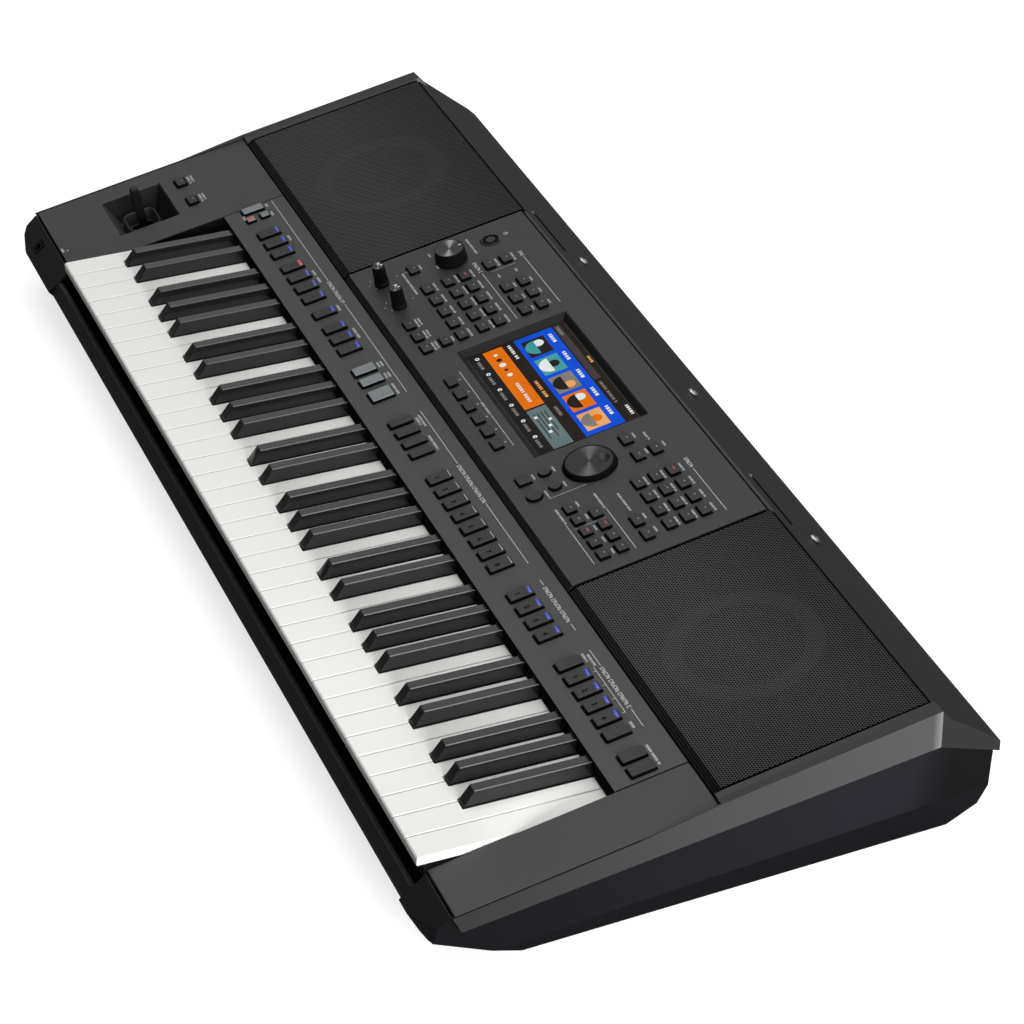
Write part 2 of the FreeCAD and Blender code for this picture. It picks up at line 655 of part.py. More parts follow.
def centre_panel():
    """Panel with a hole for every control, a ring round the power button and posts for its board."""
    panel = tray(-PANEL_HALF, PANEL_HALF, STRIP_REAR + SEAM, PANEL_REAR, PANEL_RAISE, RISER, PLATE)
    collar = POWER_RADIUS + POWER_RING
    ring = tapered(POWER_PLACE, collar, PANEL_RAISE, collar - POWER_RING_HEIGHT,
                   PANEL_RAISE + POWER_RING_HEIGHT, ROUND_SIDES)
    posts = [post(place, PANEL_RAISE - PLATE) for place in panel_post_places()]
    panel = panel.fuse([ring] + posts)
    holes = [button_hole(b) for b in PANEL_BUTTONS]
    holes += [many_sided_hole(p, r + BUTTON_GAP) for p, r in ROUND_BUTTONS]
    holes.append(many_sided_hole(POWER_PLACE, POWER_RADIUS + BUTTON_GAP))
    holes += [many_sided_hole(p, SHAFT_RADIUS + SHAFT_GAP) for p in KNOB_PLACES]
    holes.append(screen_opening())
    well_floor = V(*DIAL_PLACE, PANEL_RAISE - DIAL_RING)
    holes.append(Part.makeCylinder(DIAL_RADIUS + BUTTON_GAP, PANEL_RAISE, well_floor))
    return on_top(drilled(panel, holes))


def grille(side):
    x0, x1 = sorted((side * GRILLE_INNER, side * GRILLE_OUTER))
    return on_top(tray(x0, x1, STRIP_REAR + 2 * SEAM, WINDOW_REAR, GRILLE_RAISE, GRILLE_ROLL, GRILLE_SHEET))


# Screen

def screen_bezel():
    """Sloping frame between the panel face and the glass."""
    outer = grown((SCREEN_WIDTH, SCREEN_LENGTH), -SEAM)
    opening = grown((SCREEN_WIDTH, SCREEN_LENGTH), -SCREEN_BORDER)
    centre = (0.0, SCREEN_V)
    low = PANEL_RAISE - SCREEN_DEPTH
    frame = frustum(centre, outer, low, outer, PANEL_RAISE)
    return on_top(frame.cut(frustum(centre, opening, low, grown(outer, -BEZEL_LAND), PANEL_RAISE)))


def screen_layer(top, thickness):
    size = grown((SCREEN_WIDTH, SCREEN_LENGTH), -SEAM)
    return on_top(frustum((0.0, SCREEN_V), size, top - thickness, size, top))


# Buttons

def strip_row(first, count, step, size, up=0.0):
    """Buttons on the strip; first and step count white keys from the left."""
    return [(KEYS_LEFT + PITCH * (first + i * step), STRIP_ROW + up, *size) for i in range(count)]


def panel_place(column, line):
    """Place on the centre panel's grid, columns from the middle and rows from the strip."""
    return COLUMN * column, STRIP_REAR + ROW * line


def panel_row(first, count, step, line, size):
    return [(*panel_place(first + i * step, line), *size) for i in range(count)]


STYLE_BUTTONS = (
    strip_row(2.138, 3, 0.755, LONG_BUTTON) + strip_row(4.722, 4, 0.764, LONG_BUTTON)
    + strip_row(8.129, 1, 0.755, LONG_BUTTON) + strip_row(9.206, 3, 0.751, LONG_BUTTON)
    + strip_row(12.188, 2, 0.734, LONG_BUTTON) + strip_row(13.851, 1, 0.755, WIDE_BUTTON)
    + strip_row(0.276, 1, 0.755, SLIM_BUTTON)
    + [cap for up in (-TINY_STEP, TINY_STEP) for cap in strip_row(0.887, 1, 0.755, TINY_BUTTON, up)])
REGISTRATION_BUTTONS = (
    strip_row(15.697, 4, 0.658, SLIM_BUTTON) + strip_row(19.299, 8, 0.755, LONG_BUTTON))
ONE_TOUCH_BUTTONS = strip_row(26.265, 4, 0.751, LONG_BUTTON)
PAD_BUTTONS = strip_row(30.134, 6, 0.725, LONG_BUTTON) + strip_row(34.911, 2, 0.662, LONG_BUTTON)
STRIP_BUTTONS = STYLE_BUTTONS + REGISTRATION_BUTTONS + ONE_TOUCH_BUTTONS + PAD_BUTTONS
JOYSTICK_BUTTON_V = WELL_PLACE[1] + WELL_MOUTH[1] / 2 + JOYSTICK_BUTTON_STEP
JOYSTICK_BUTTONS = [(WELL_PLACE[0] + side * JOYSTICK_BUTTON_STEP, JOYSTICK_BUTTON_V, *SMALL_BUTTON)
                    for side in (-1, 1)]

SELECT_BUTTONS = (
    [cap for line in (3.608, 4.869, 5.867) for cap in panel_row(-9.316, 5, 1.0, line, SMALL_BUTTON)]
    + panel_row(-7.291, 3, 1.0, 1.46, SMALL_BUTTON) + panel_row(-5.297, 1, 1.0, 2.624, SMALL_BUTTON)
    + panel_row(-11.091, 1, 1.0, 3.615, SMALL_BUTTON))
SONG_BUTTONS = [
    cap for line in (7.478, 8.505) for first, count in ((-9.436, 1), (-7.411, 3))
    for cap in panel_row(first, count, 1.01, line, SMALL_BUTTON)]
SCREEN_BUTTONS = (
    panel_row(-2.427, 6, 1.01, 1.474, SMALL_BUTTON) + panel_row(5.465, 1, 1.0, 1.481, SQUARE_BUTTON))
VOICE_BUTTONS = (
    [cap for line in (6.48, 7.471, 8.436) for cap in panel_row(8.241, 4, 0.992, line, SMALL_BUTTON)]
    + panel_row(10.35, 2, 0.976, 5.172, SMALL_BUTTON) + panel_row(5.365, 2, 1.232, 7.437, SMALL_BUTTON)
    + panel_row(6.597, 1, 1.0, 8.436, SMALL_BUTTON))
PART_BUTTONS = (
    panel_row(8.184, 5, 0.825, 2.603, PART_BUTTON) + panel_row(9.008, 4, 0.825, 3.629, PART_BUTTON))
PANEL_BUTTONS = SELECT_BUTTONS + SONG_BUTTONS + SCREEN_BUTTONS + VOICE_BUTTONS + PART_BUTTONS
ROUND_BUTTONS = ((panel_place(5.454, 2.706), ROUND_BUTTON), (panel_place(6.519, 2.727), ROUND_BUTTON),
                 (panel_place(6.628, 1.487), ENTER_BUTTON))
POWER_PLACE = panel_place(-11.185, 8.518)
VOLUME_PLACE = panel_place(-10.788, 5.874)
LIVE_PLACES = (panel_place(-10.908, 1.618), panel_place(-8.894, 1.687))
DIAL_PLACE = panel_place(6.013, 5.0)
KNOB_PLACES = (VOLUME_PLACE, *LIVE_PLACES, DIAL_PLACE)


def button(place, face):
    """Drafted button cap, standing proud of a surface at height face."""
    x, v, width, length = place
    top = grown((width, length), -BUTTON_DRAFT)
    return on_top(frustum((x, v), (width, length), face - BUTTON_DEEP, top, face + BUTTON_PROUD))


def round_button(place, radius, face):
    top = radius - BUTTON_DRAFT
    return on_top(tapered(place, radius, face - BUTTON_DEEP, top, face + BUTTON_PROUD, ROUND_SIDES))


def buttons(places, face):
    return [button(place, face) for place in places]


# Knobs and dial

def shaft(place, top):
    """Splined shaft below a knob, up to the height top above the panel."""
    low = PANEL_RAISE - SHAFT_LENGTH
    return tapered(place, SHAFT_RADIUS, low, SHAFT_RADIUS, PANEL_RAISE + top, SHAFT_SPLINES)


def knob(place, foot_radius, top_radius, height):
    """Tapered, fluted knob on a shaft that runs in the centre panel."""
    low = PANEL_RAISE + KNOB_LIFT
    cap = tapered(place, foot_radius, low, top_radius, PANEL_RAISE + height, KNOB_FLUTES)
    return on_top(cap.fuse(shaft(place, KNOB_LIFT)))


def data_dial():
    """Flat wheel sunk in the panel, with a finger dimple near its rim."""
    low = KNOB_LIFT - DIAL_RING
    top = PANEL_RAISE + DIAL_HEIGHT
    wheel = tapered(DIAL_PLACE, DIAL_RADIUS, PANEL_RAISE + low, DIAL_RADIUS - DIAL_EDGE, top, DIAL_FLUTES)
    x, v = DIAL_PLACE
    reach = (DIAL_RADIUS - DIAL_EDGE - DIMPLE_RADIUS) / math.sqrt(2) - DIAL_RING
    dimple = tapered((x + reach, v + reach), DIMPLE_RADIUS - DIMPLE_DEPTH, top - DIMPLE_DEPTH,
                     DIMPLE_RADIUS, top, KNOB_FLUTES)
    return on_top(wheel.cut(dimple).fuse(shaft(DIAL_PLACE, low)))


# Joystick

def joystick_gimbal():
    """Frame that tilts left and right on two pins held by the ears of the well."""
    x, v = WELL_PLACE
    w = -WELL_DEPTH - PIVOT_DROP
    half = GIMBAL_SIZE / 2
    hole = LEVER_ROOT / 2 + PIN_GAP
    rise = GIMBAL_HEIGHT / 2
    frame = block(x - half, x + half, v - half, v + half, w - rise, w + rise)
    frame = frame.cut(block(x - hole, x + hole, v - hole, v + hole, w - rise, w + rise))
    reach = half + PIN_GAP + WELL_WALL
    for side in (1, -1):
        pin = Part.makeCylinder(PIN_RADIUS, reach - half, V(x, v + side * half, w), V(0, side, 0))
        frame = frame.fuse(pin)
    bore = Part.makeCylinder(PIN_RADIUS + PIN_GAP, 2 * GIMBAL_SIZE, V(x - GIMBAL_SIZE, v, w), V(1, 0, 0))
    return on_top(frame.cut(bore))


def joystick_lever():
    """Lever that tilts to and fro on a pin in the gimbal."""
    x, v = WELL_PLACE
    w = -WELL_DEPTH - PIVOT_DROP
    root = (LEVER_ROOT, LEVER_WIDTH)
    neck = (LEVER_WIDTH, LEVER_WIDTH)
    tip = (LEVER_WIDTH - LEVER_FLARE, LEVER_WIDTH + LEVER_FLARE)
    half = GIMBAL_HEIGHT / 2
    lever = frustum(WELL_PLACE, root, w - half, root, w + half)
    lever = lever.fuse(frustum(WELL_PLACE, neck, w + half, neck, -WELL_DEPTH / 2))
    lever = lever.fuse(frustum(WELL_PLACE, neck, -WELL_DEPTH / 2, tip, LEVER_TIP))
    pin = Part.makeCylinder(PIN_RADIUS, GIMBAL_SIZE, V(x - GIMBAL_SIZE / 2, v, w), V(1, 0, 0))
    return on_top(lever.fuse(pin).removeSplitter())


# Keys: each octave is three moulded combs that flex behind the control strip

def notch_edges(octave, index):
    """Left and right edges of a white key beside the black keys, with the key's own edges as limits."""
    base = KEYS_LEFT + OCTAVE_WIDTH * octave
    left = base + PITCH * index + KEY_GAP / 2
    right = left + PITCH - KEY_GAP
    half = BLACK_WIDTH / 2 + BLACK_CLEARANCE
    inner_left, inner_right = left, right
    for step in BLACK_STEPS:
        x = base + PITCH * step
        if abs(x - left) < PITCH / 2:
            inner_left = x + half
        if abs(x - right) < PITCH / 2:
            inner_right = x - half
    return left, right, inner_left, inner_right


def white_key(octave, index, last=False):
    """White key with notches beside the black keys and a hollow underside; also the middle of its shank."""
    left, right, inner_left, inner_right = notch_edges(octave, index)
    if last:
        inner_right = right
    shoulder = KEY_Y + BLACK_FRONT - BLACK_CLEARANCE
    end = KEY_Y + WHITE_LENGTH
    low = KEY_TOP - WHITE_DEPTH
    key = block(left, right, KEY_Y, end, low, KEY_TOP)
    notches = [block(x0, x1, shoulder, end, low, KEY_TOP)
               for x0, x1 in ((left, inner_left), (inner_right, right)) if x1 > x0]
    lip = [e for e in key.Edges if e.BoundBox.ZMin > low and e.BoundBox.YMax < shoulder]
    key = key.makeChamfer(KEY_LIP, lip)
    hollow = block(inner_left + KEY_WALL, inner_right - KEY_WALL, KEY_Y + KEY_WALL, end - KEY_WALL,
                   low, KEY_TOP - WHITE_SKIN)
    return drilled(key, notches + [hollow]), (inner_left + inner_right) / 2


def black_key(x):
    """Black key with a raked front and tapered sides."""
    def ring(width, front, z):
        length = WHITE_LENGTH - front
        return rectangle((x, KEY_Y + front + length / 2), (width, length), z)
    foot = ring(BLACK_WIDTH, BLACK_FRONT, KEY_TOP - WHITE_DEPTH)
    waist = ring(BLACK_WIDTH, BLACK_FRONT, KEY_TOP)
    crown = ring(BLACK_TOP_WIDTH, BLACK_FRONT + BLACK_RAKE, KEY_TOP + BLACK_HEIGHT)
    return skin(foot, waist).fuse(skin(waist, crown))


def bar_top(level):
    return KEY_TOP - BAR_DROP - level * (BAR_HEIGHT + BAR_GAP)


def comb_tooth(x, level):
    """Flexing tooth from the back of a key to its comb's bar."""
    return block(x - TOOTH_WIDTH / 2, x + TOOTH_WIDTH / 2, KEY_Y + WHITE_LENGTH - KEY_WALL, HINGE_Y,
                 bar_top(level) - BAR_HEIGHT, bar_top(level))


def comb_bar(x0, x1, level):
    y0 = HINGE_Y - BAR_DEPTH / 2
    return block(x0, x1, y0, y0 + BAR_DEPTH, bar_top(level) - BAR_HEIGHT, bar_top(level))


def comb(keys, x0, x1, level):
    """Keys of one comb joined through their teeth to one bar."""
    bodies = [comb_bar(x0, x1, level)]
    for key, x in keys:
        bodies += [key, comb_tooth(x, level)]
    return bodies[0].fuse(bodies[1:]).removeSplitter()


WHITE_A = (0, 2, 4, 6)
WHITE_B = (1, 3, 5)


def octave_combs(octave):
    x0 = KEYS_LEFT + OCTAVE_WIDTH * octave + KEY_GAP / 2
    x1 = x0 + OCTAVE_WIDTH - KEY_GAP
    first = black_centres()[5 * octave:5 * octave + 5]
    number = octave + 1
    return {
        f"black_keys_{number}": comb([(black_key(x), x) for x in first], x0, x1, 0),
        f"white_keys_a_{number}": comb([white_key(octave, i) for i in WHITE_A], x0, x1, 1),
        f"white_keys_b_{number}": comb([white_key(octave, i) for i in WHITE_B], x0, x1, 2),
    }


def top_key():
    x0 = KEYS_LEFT + OCTAVE_WIDTH * (WHITE_KEYS // 7) + KEY_GAP / 2
    key, x = white_key(WHITE_KEYS // 7, 0, last=True)
    return comb([(key, x)], x0, x0 + PITCH - KEY_GAP, 1)


def key_chassis():
    """Sheet chassis under the keys, with a raised rail that carries the combs."""
    seat = bar_top(2) - BAR_HEIGHT - BAR_GAP
    y0, y1 = KEY_Y + CHASSIS_FRONT, HINGE_Y + BAR_DEPTH
    y2 = HINGE_Y - BAR_DEPTH
    low, high = CHASSIS_Z, CHASSIS_Z + CHASSIS_SHEET
    lip = low - 4 * CHASSIS_SHEET
    points = [(y0, lip), (y0 + CHASSIS_SHEET, lip), (y0 + CHASSIS_SHEET, low), (y1, low), (y1, seat),
              (y2, seat), (y2, high), (y0, high)]
    return prism(points, KEYS_LEFT, KEYS_RIGHT)


def key_contact_board():
    """Contact board on the chassis, with its rubber contact strip."""
    z = CHASSIS_Z + CHASSIS_SHEET
    y0 = KEY_Y + HINGE_SETBACK / 2
    board = block(KEYS_LEFT, KEYS_RIGHT, y0, y0 + 4 * POST, z, z + BOARD)
    strip = block(KEYS_LEFT, KEYS_RIGHT, y0 + POST, y0 + 2 * POST, z + BOARD, z + 2 * BOARD)
    return [board, strip]


# Boards, speakers and sockets

def panel_boards():
    x = PANEL_HALF - POST / 2
    v0, v1 = STRIP_REAR + RISER + POST / 2, PANEL_REAR - POST / 2
    centre = block(-x, x, v0, v1, -BOARD_DROP - BOARD, -BOARD_DROP)
    centre = centre.cut(screen_opening(POST))
    strip = block(WELL_LEFT + POST, WELL_RIGHT - POST, STRIP_ROW - POST, STRIP_REAR - POST / 2,
                  -BOARD_DROP - BOARD, -BOARD_DROP)
    return [on_top(centre), on_top(strip)]


def floor_board(board):
    return block(*board_rect(board), BOARD_Z, BOARD_Z + BOARD)


def speaker(side):
    """Pressed basket and magnet, screwed under the baffle in the top wall."""
    top = -UPPER_WALL
    seat = top - BASKET_SHARE * SPEAKER_DEPTH

    def disc(radius, low, high):
        return tapered((speaker_x(side), SPEAKER_V), radius, low, radius, high, CONE_RIBS)
    rim = SPEAKER_RADIUS - SPEAKER_FLANGE
    body = disc(SPEAKER_RADIUS, top - SPEAKER_SHEET, top).fuse(disc(rim, seat, top))
    body = body.fuse(disc(MAGNET_RADIUS, top - SPEAKER_DEPTH, seat))
    return on_top(body.cut(disc(rim - SPEAKER_SHEET, seat + SPEAKER_SHEET, top)).removeSplitter())


def speaker_cone(side):
    """Ribbed paper cone inside the basket."""
    place = (speaker_x(side), SPEAKER_V)
    rim = SPEAKER_RADIUS - SPEAKER_FLANGE - SPEAKER_SHEET - 2 * SEAM
    top = -UPPER_WALL
    low = top - CONE_SHARE * SPEAKER_DEPTH
    cap = MAGNET_RADIUS / 2
    outer = tapered(place, cap, low - CONE_WALL, rim, top, CONE_RIBS)
    return on_top(outer.cut(tapered(place, cap - CONE_WALL, low, rim - CONE_WALL, top, CONE_RIBS)))


def jack_socket(x):
    """Moulded socket body with a blind bore for a 6.35 mm plug."""
    half = JACK_BODY / 2
    back = REAR_WALL_Y + SOCKET_PROUD - JACK_LENGTH
    body = block(x - half, x + half, back, back + JACK_LENGTH, SOCKET_Z - half, SOCKET_Z + half)
    floor = V(x, back + JACK_FLOOR, SOCKET_Z)
    return body.cut(Part.makeCylinder(JACK_BORE, JACK_LENGTH, floor, V(0, 1, 0)))


def socket_block(x, size, back, front):
    a, b = size[0] / 2, size[1] / 2
    return block(x - a, x + a, back, front, SOCKET_Z - b, SOCKET_Z + b)


def usb_sockets():
    """Two shells, open to the rear, with a contact tongue in each."""
    front = REAR_WALL_Y + SOCKET_PROUD
    back = front - SOCKET_LENGTH
    sockets = []
    for x, size in ((USB_A_X, USB_A_SIZE), (USB_B_X, USB_B_SIZE)):
        body = socket_block(x, size, back, front)
        mouth = socket_block(x, grown(size, -SOCKET_WALL), back + SOCKET_FLOOR, front)
        tongue = socket_block(x, (size[0] / 2, TONGUE), back, front - SOCKET_FLOOR)
        sockets.append(body.cut(mouth).fuse(tongue))
    return sockets


def power_inlet():
    """Low-voltage inlet: a block with a round bore and a centre pin."""
    front = REAR_WALL_Y + SOCKET_PROUD
    back = front - SOCKET_LENGTH
    floor = V(INLET_X, back + SOCKET_FLOOR, SOCKET_Z)
    body = socket_block(INLET_X, INLET_BODY, back, front)
    bore = Part.makeCylinder(INLET_BORE, SOCKET_LENGTH, floor, V(0, 1, 0))
    pin = Part.makeCylinder(INLET_PIN, SOCKET_LENGTH - 2 * SOCKET_FLOOR, floor, V(0, 1, 0))
    return body.cut(bore).fuse(pin)


def phone_axis():
    """Mouth of the headphone socket on the sloping front face, and the face's outward normal."""
    cheek_y, cheek_z = top_yz(BLOCK_FRONT)
    slope_y, slope_z = FRONT - cheek_y, RAIL_FRONT_Z - cheek_z
    across, down = PHONE_SHARE
    normal = V(0, slope_z, -slope_y)
    normal.normalize()
    return V(-HALF + across * LEFT_BLOCK, cheek_y + down * slope_y, cheek_z + down * slope_z), normal


def phone_block(gap, back, front):
    """Block square to the sloping front face, from back to front along its normal."""
    mouth, normal = phone_axis()
    size = grown((PHONE_BODY, PHONE_BODY), gap)
    body = frustum((0.0, 0.0), size, back, size, front)
    body.rotate(V(0, 0, 0), V(1, 0, 0), math.degrees(math.atan2(-normal.y, normal.z)))
    body.translate(mouth)
    return body


def headphone_jack():
    mouth, normal = phone_axis()
    body = phone_block(0, SOCKET_PROUD - PHONE_LENGTH, SOCKET_PROUD)
    floor = mouth + normal * (SOCKET_PROUD + JACK_FLOOR - PHONE_LENGTH)
    return body.cut(Part.makeCylinder(JACK_BORE, PHONE_LENGTH, floor, normal))


def rest_studs():
    """Round studs on the rear slope."""
    middle = V(0, (CREST_Y + REAR - REAR_LIP) / 2, (CREST_Z + REAR_TOP_Z) / 2)
    studs = [tapered((x, 0), STUD_RADIUS, 0, STUD_RADIUS / 2, STUD_HEIGHT, ROUND_SIDES) for x in STUD_XS]
    for stud in studs:
        stud.rotate(V(0, 0, 0), V(1, 0, 0), -REAR_SLOPE)
        stud.translate(middle)
    return studs


def foot_places():
    x = HALF - BOTTOM_INSET - FOOT_SIZE
    y0 = FRONT + RAIL_BOTTOM_SETBACK + KNEE_LENGTH + FOOT_SIZE
    y1 = REAR_WALL_Y - REAR_KNEE_LENGTH - FOOT_SIZE
    return [(foot_x, y) for foot_x in (-x, 0.0, x) for y in (y0, y1)]


def feet():
    top = (FOOT_SIZE, FOOT_SIZE)
    sole = grown(top, -FOOT_DRAFT)
    return [frustum(place, sole, 0, top, FOOT_HEIGHT) for place in foot_places()]


# Every piece of the keyboard by name
PIECES = {
    "lower_case": lower_case(),
    "upper_case": upper_case(),
    "left_end_block": left_end_block(),
    "right_end_block": right_end_block(),
    "key_slip": key_slip(),
    "control_strip": control_strip(),
    "centre_panel": centre_panel(),
    "left_grille": grille(-1),
    "right_grille": grille(1),
    "screen_bezel": screen_bezel(),
    "touch_panel": screen_layer(PANEL_RAISE - SCREEN_DEPTH, GLASS),
    "display_module": screen_layer(PANEL_RAISE - SCREEN_DEPTH - GLASS, DISPLAY_THICKNESS),
    "speakers": [speaker(-1), speaker(1)],
    "speaker_cones": [speaker_cone(-1), speaker_cone(1)],
    "key_chassis": key_chassis(),
    "key_contact_board": key_contact_board(),
    "main_board": floor_board(MAIN_BOARD),
    "amplifier_board": floor_board(AMP_BOARD),
    "panel_boards": panel_boards(),
    "jack_sockets": [jack_socket(x) for x in JACK_PLACES],
    "usb_sockets": usb_sockets(),
    "power_inlet": power_inlet(),
    "headphone_jack": headphone_jack(),
    "rest_studs": rest_studs(),
    "feet": feet(),
    "style_buttons": buttons(STYLE_BUTTONS, 0),
    "registration_buttons": buttons(REGISTRATION_BUTTONS, 0),
    "one_touch_buttons": buttons(ONE_TOUCH_BUTTONS, 0),
    "pad_buttons": buttons(PAD_BUTTONS, 0),
    "joystick_buttons": buttons(JOYSTICK_BUTTONS, 0),
    "select_buttons": buttons(SELECT_BUTTONS, PANEL_RAISE),
    "song_buttons": buttons(SONG_BUTTONS, PANEL_RAISE),
    "screen_buttons": (buttons(SCREEN_BUTTONS, PANEL_RAISE)
                       + [round_button(place, radius, PANEL_RAISE) for place, radius in ROUND_BUTTONS]),
    "voice_buttons": buttons(VOICE_BUTTONS, PANEL_RAISE),
    "part_buttons": buttons(PART_BUTTONS, PANEL_RAISE),
    "power_button": round_button(POWER_PLACE, POWER_RADIUS, PANEL_RAISE),
    "volume_knob": knob(VOLUME_PLACE, VOLUME_RADIUS, VOLUME_TOP_RADIUS, VOLUME_HEIGHT),
    "live_knob_left": knob(LIVE_PLACES[0], LIVE_RADIUS, LIVE_TOP_RADIUS, LIVE_HEIGHT),
    "live_knob_right": knob(LIVE_PLACES[1], LIVE_RADIUS, LIVE_TOP_RADIUS, LIVE_HEIGHT),
    "data_dial": data_dial(),
    "joystick_gimbal": joystick_gimbal(),
    "joystick_lever": joystick_lever(),
    "top_key": top_key(),
}
for number in range(WHITE_KEYS // 7):
    PIECES.update(octave_combs(number))

os.makedirs("parts", exist_ok=True)
for name, piece in PIECES.items():
    shape = Part.makeCompound(piece) if isinstance(piece, list) else piece
    shape.exportStep(f"parts/{name}.step")
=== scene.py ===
import math

import bmesh
import bpy
from mathutils import Matrix, Vector


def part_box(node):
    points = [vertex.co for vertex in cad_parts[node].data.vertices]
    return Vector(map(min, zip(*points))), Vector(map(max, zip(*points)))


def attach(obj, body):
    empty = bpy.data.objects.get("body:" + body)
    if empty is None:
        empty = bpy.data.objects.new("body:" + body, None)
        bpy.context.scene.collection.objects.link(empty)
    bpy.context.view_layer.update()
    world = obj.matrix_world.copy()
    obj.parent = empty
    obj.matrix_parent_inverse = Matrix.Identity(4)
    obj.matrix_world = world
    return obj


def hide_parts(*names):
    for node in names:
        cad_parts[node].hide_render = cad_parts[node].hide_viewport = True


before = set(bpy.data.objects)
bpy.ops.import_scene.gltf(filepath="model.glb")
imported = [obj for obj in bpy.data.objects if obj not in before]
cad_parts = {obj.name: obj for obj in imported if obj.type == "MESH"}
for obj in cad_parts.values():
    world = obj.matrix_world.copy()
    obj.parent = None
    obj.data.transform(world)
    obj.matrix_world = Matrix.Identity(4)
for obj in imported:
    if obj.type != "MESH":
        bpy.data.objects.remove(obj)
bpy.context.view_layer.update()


# Lower case: a drafted tub of black plastic, moulded in one shot with a fine eroded grain.
# Its floor carries the posts for the boards, and its sides close against the upper case.

class Wire:
    """One value in a finish. Sums and products of wires add their own nodes."""

    def __init__(self, owner, socket=None):
        self.owner = owner
        self.socket = socket

    def add(self, kind, settings, sockets, output=0):
        """Adds a node by its type, its settings and the values or wires of its sockets."""
        tree = self.owner.node_tree
        node = tree.nodes.new(kind)
        for name, value in settings.items():
            setattr(node, name, value)
        for name, value in sockets.items():
            if isinstance(value, Wire):
                tree.links.new(value.socket, node.inputs[name])
            else:
                node.inputs[name].default_value = value
        return None if output is None else Wire(self.owner, node.outputs[output])

    def maths(self, operation, *values):
        return self.add("ShaderNodeMath", {"operation": operation}, dict(enumerate(values)))

    def __add__(self, other):
        return self.maths("ADD", self, other)

    def __sub__(self, other):
        return self.maths("SUBTRACT", self, other)

    def __mul__(self, other):
        return self.maths("MULTIPLY", self, other)

    def __lt__(self, other):
        return self.maths("LESS_THAN", self, other)

    def __gt__(self, other):
        return self.maths("GREATER_THAN", self, other)

    def __rsub__(self, other):
        return self.maths("SUBTRACT", other, self)

    def __abs__(self):
        return self.maths("ABSOLUTE", self)

    def most(self, other):
        return self.maths("MAXIMUM", self, other)

    def ramp(self, low, high, start=0.0, end=1.0):
        """Straight ramp from start to end, while this value goes from low to high."""
        return self.add("ShaderNodeMapRange", {}, {
            "Value": self, "From Min": low, "From Max": high, "To Min": start, "To Max": end})

    def axis(self, letter):
        return self.add("ShaderNodeSeparateXYZ", {}, {"Vector": self}, letter)

    def facing(self):
        """Direction in which the surface looks."""
        return self.add("ShaderNodeNewGeometry", {}, {}, "Normal")

    def noise(self, scale, detail=2.0):
        return self.add("ShaderNodeTexNoise", {}, {"Vector": self, "Scale": scale, "Detail": detail}, "Fac")

    def bump(self, strength, depth):
        """Normal of a skin that this value raises."""
        return self.add("ShaderNodeBump", {}, {"Strength": strength, "Distance": depth, "Height": self})

    def blend(self, low, high):
        """Colour between two others, by this value."""
        ends = [c if isinstance(c, Wire) else (*c, 1.0) for c in (low, high)]
        return self.add("ShaderNodeMix", {"data_type": "RGBA"}, {0: self, 6: ends[0], 7: ends[1]}, 2)

    def tint(self, colour, low, high=1.0):
        """Colour that goes with this value from one share of itself to another."""
        return self.blend([c * low for c in colour], [c * high for c in colour])

    def skin(self, sockets):
        return self.add("ShaderNodeBsdfPrincipled", {}, sockets)

    def close(self, shader):
        """Ends the finish with its last shader and gives its material."""
        self.add("ShaderNodeOutputMaterial", {}, {"Surface": shader}, None)
        return self.owner

    def surface(self, sockets):
        return self.close(self.skin(sockets))


def begin(name):
    """Starts an empty finish and gives the place on its piece, in metres."""
    material = bpy.data.materials.new(name)
    material.use_nodes = True
    material.node_tree.nodes.clear()
    return Wire(material).add("ShaderNodeTexCoord", {}, {}, "Object")


GRAIN_SCALE, GRAIN_DEPTH = 2200.0, 0.0002
GLOSS_SPREAD = 0.14


def grained(place, clouds, tone, rough, grain, shine, matt=0.0):
    """Closes a finish as moulded plastic: eroded grain, a gloss that wanders, and none where matt."""
    bump = place.noise(GRAIN_SCALE).bump(grain, GRAIN_DEPTH)
    skin = place.skin({"Base Color": tone, "Roughness": clouds * GLOSS_SPREAD + (rough - GLOSS_SPREAD / 2),
                       "Normal": bump, "Specular IOR Level": shine})
    dull = place.add("ShaderNodeBsdfDiffuse", {}, {"Color": tone, "Normal": bump})
    return place.close(place.add("ShaderNodeMixShader", {}, {0: matt, 1: skin, 2: dull}))


def flow_clouds(place):
    """Wide faint clouds, left by the flow of the plastic in its mould."""
    return place.noise(14.0, 4.0)


def moulded(name, colour, rough, grain, shine=0.5):
    """Moulded plastic of one colour with flow clouds."""
    place = begin(name)
    clouds = flow_clouds(place)
    return grained(place, clouds, clouds.tint(colour, 0.9, 1.1), rough, grain, shine)


EDGE_ANGLE = math.radians(24)
TOUCHING = 2e-6


def soften(node, material, width, segments=2):
    """Gives a moulding its finish and rounds its edges by a width in millimetres."""
    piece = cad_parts[node]
    piece.data.materials[0] = material
    if not width:
        return
    piece.modifiers.new("joined", "WELD").merge_threshold = TOUCHING
    edges = piece.modifiers.new("edges", "BEVEL")
    edges.width = width / 1000
    edges.segments = segments
    edges.limit_method = "ANGLE"
    edges.angle_limit = EDGE_ANGLE
    edges.use_clamp_overlap = False
    edges.loop_slide = False


CREASE_RISE, CREASE_HEIGHT = 0.088, 0.033


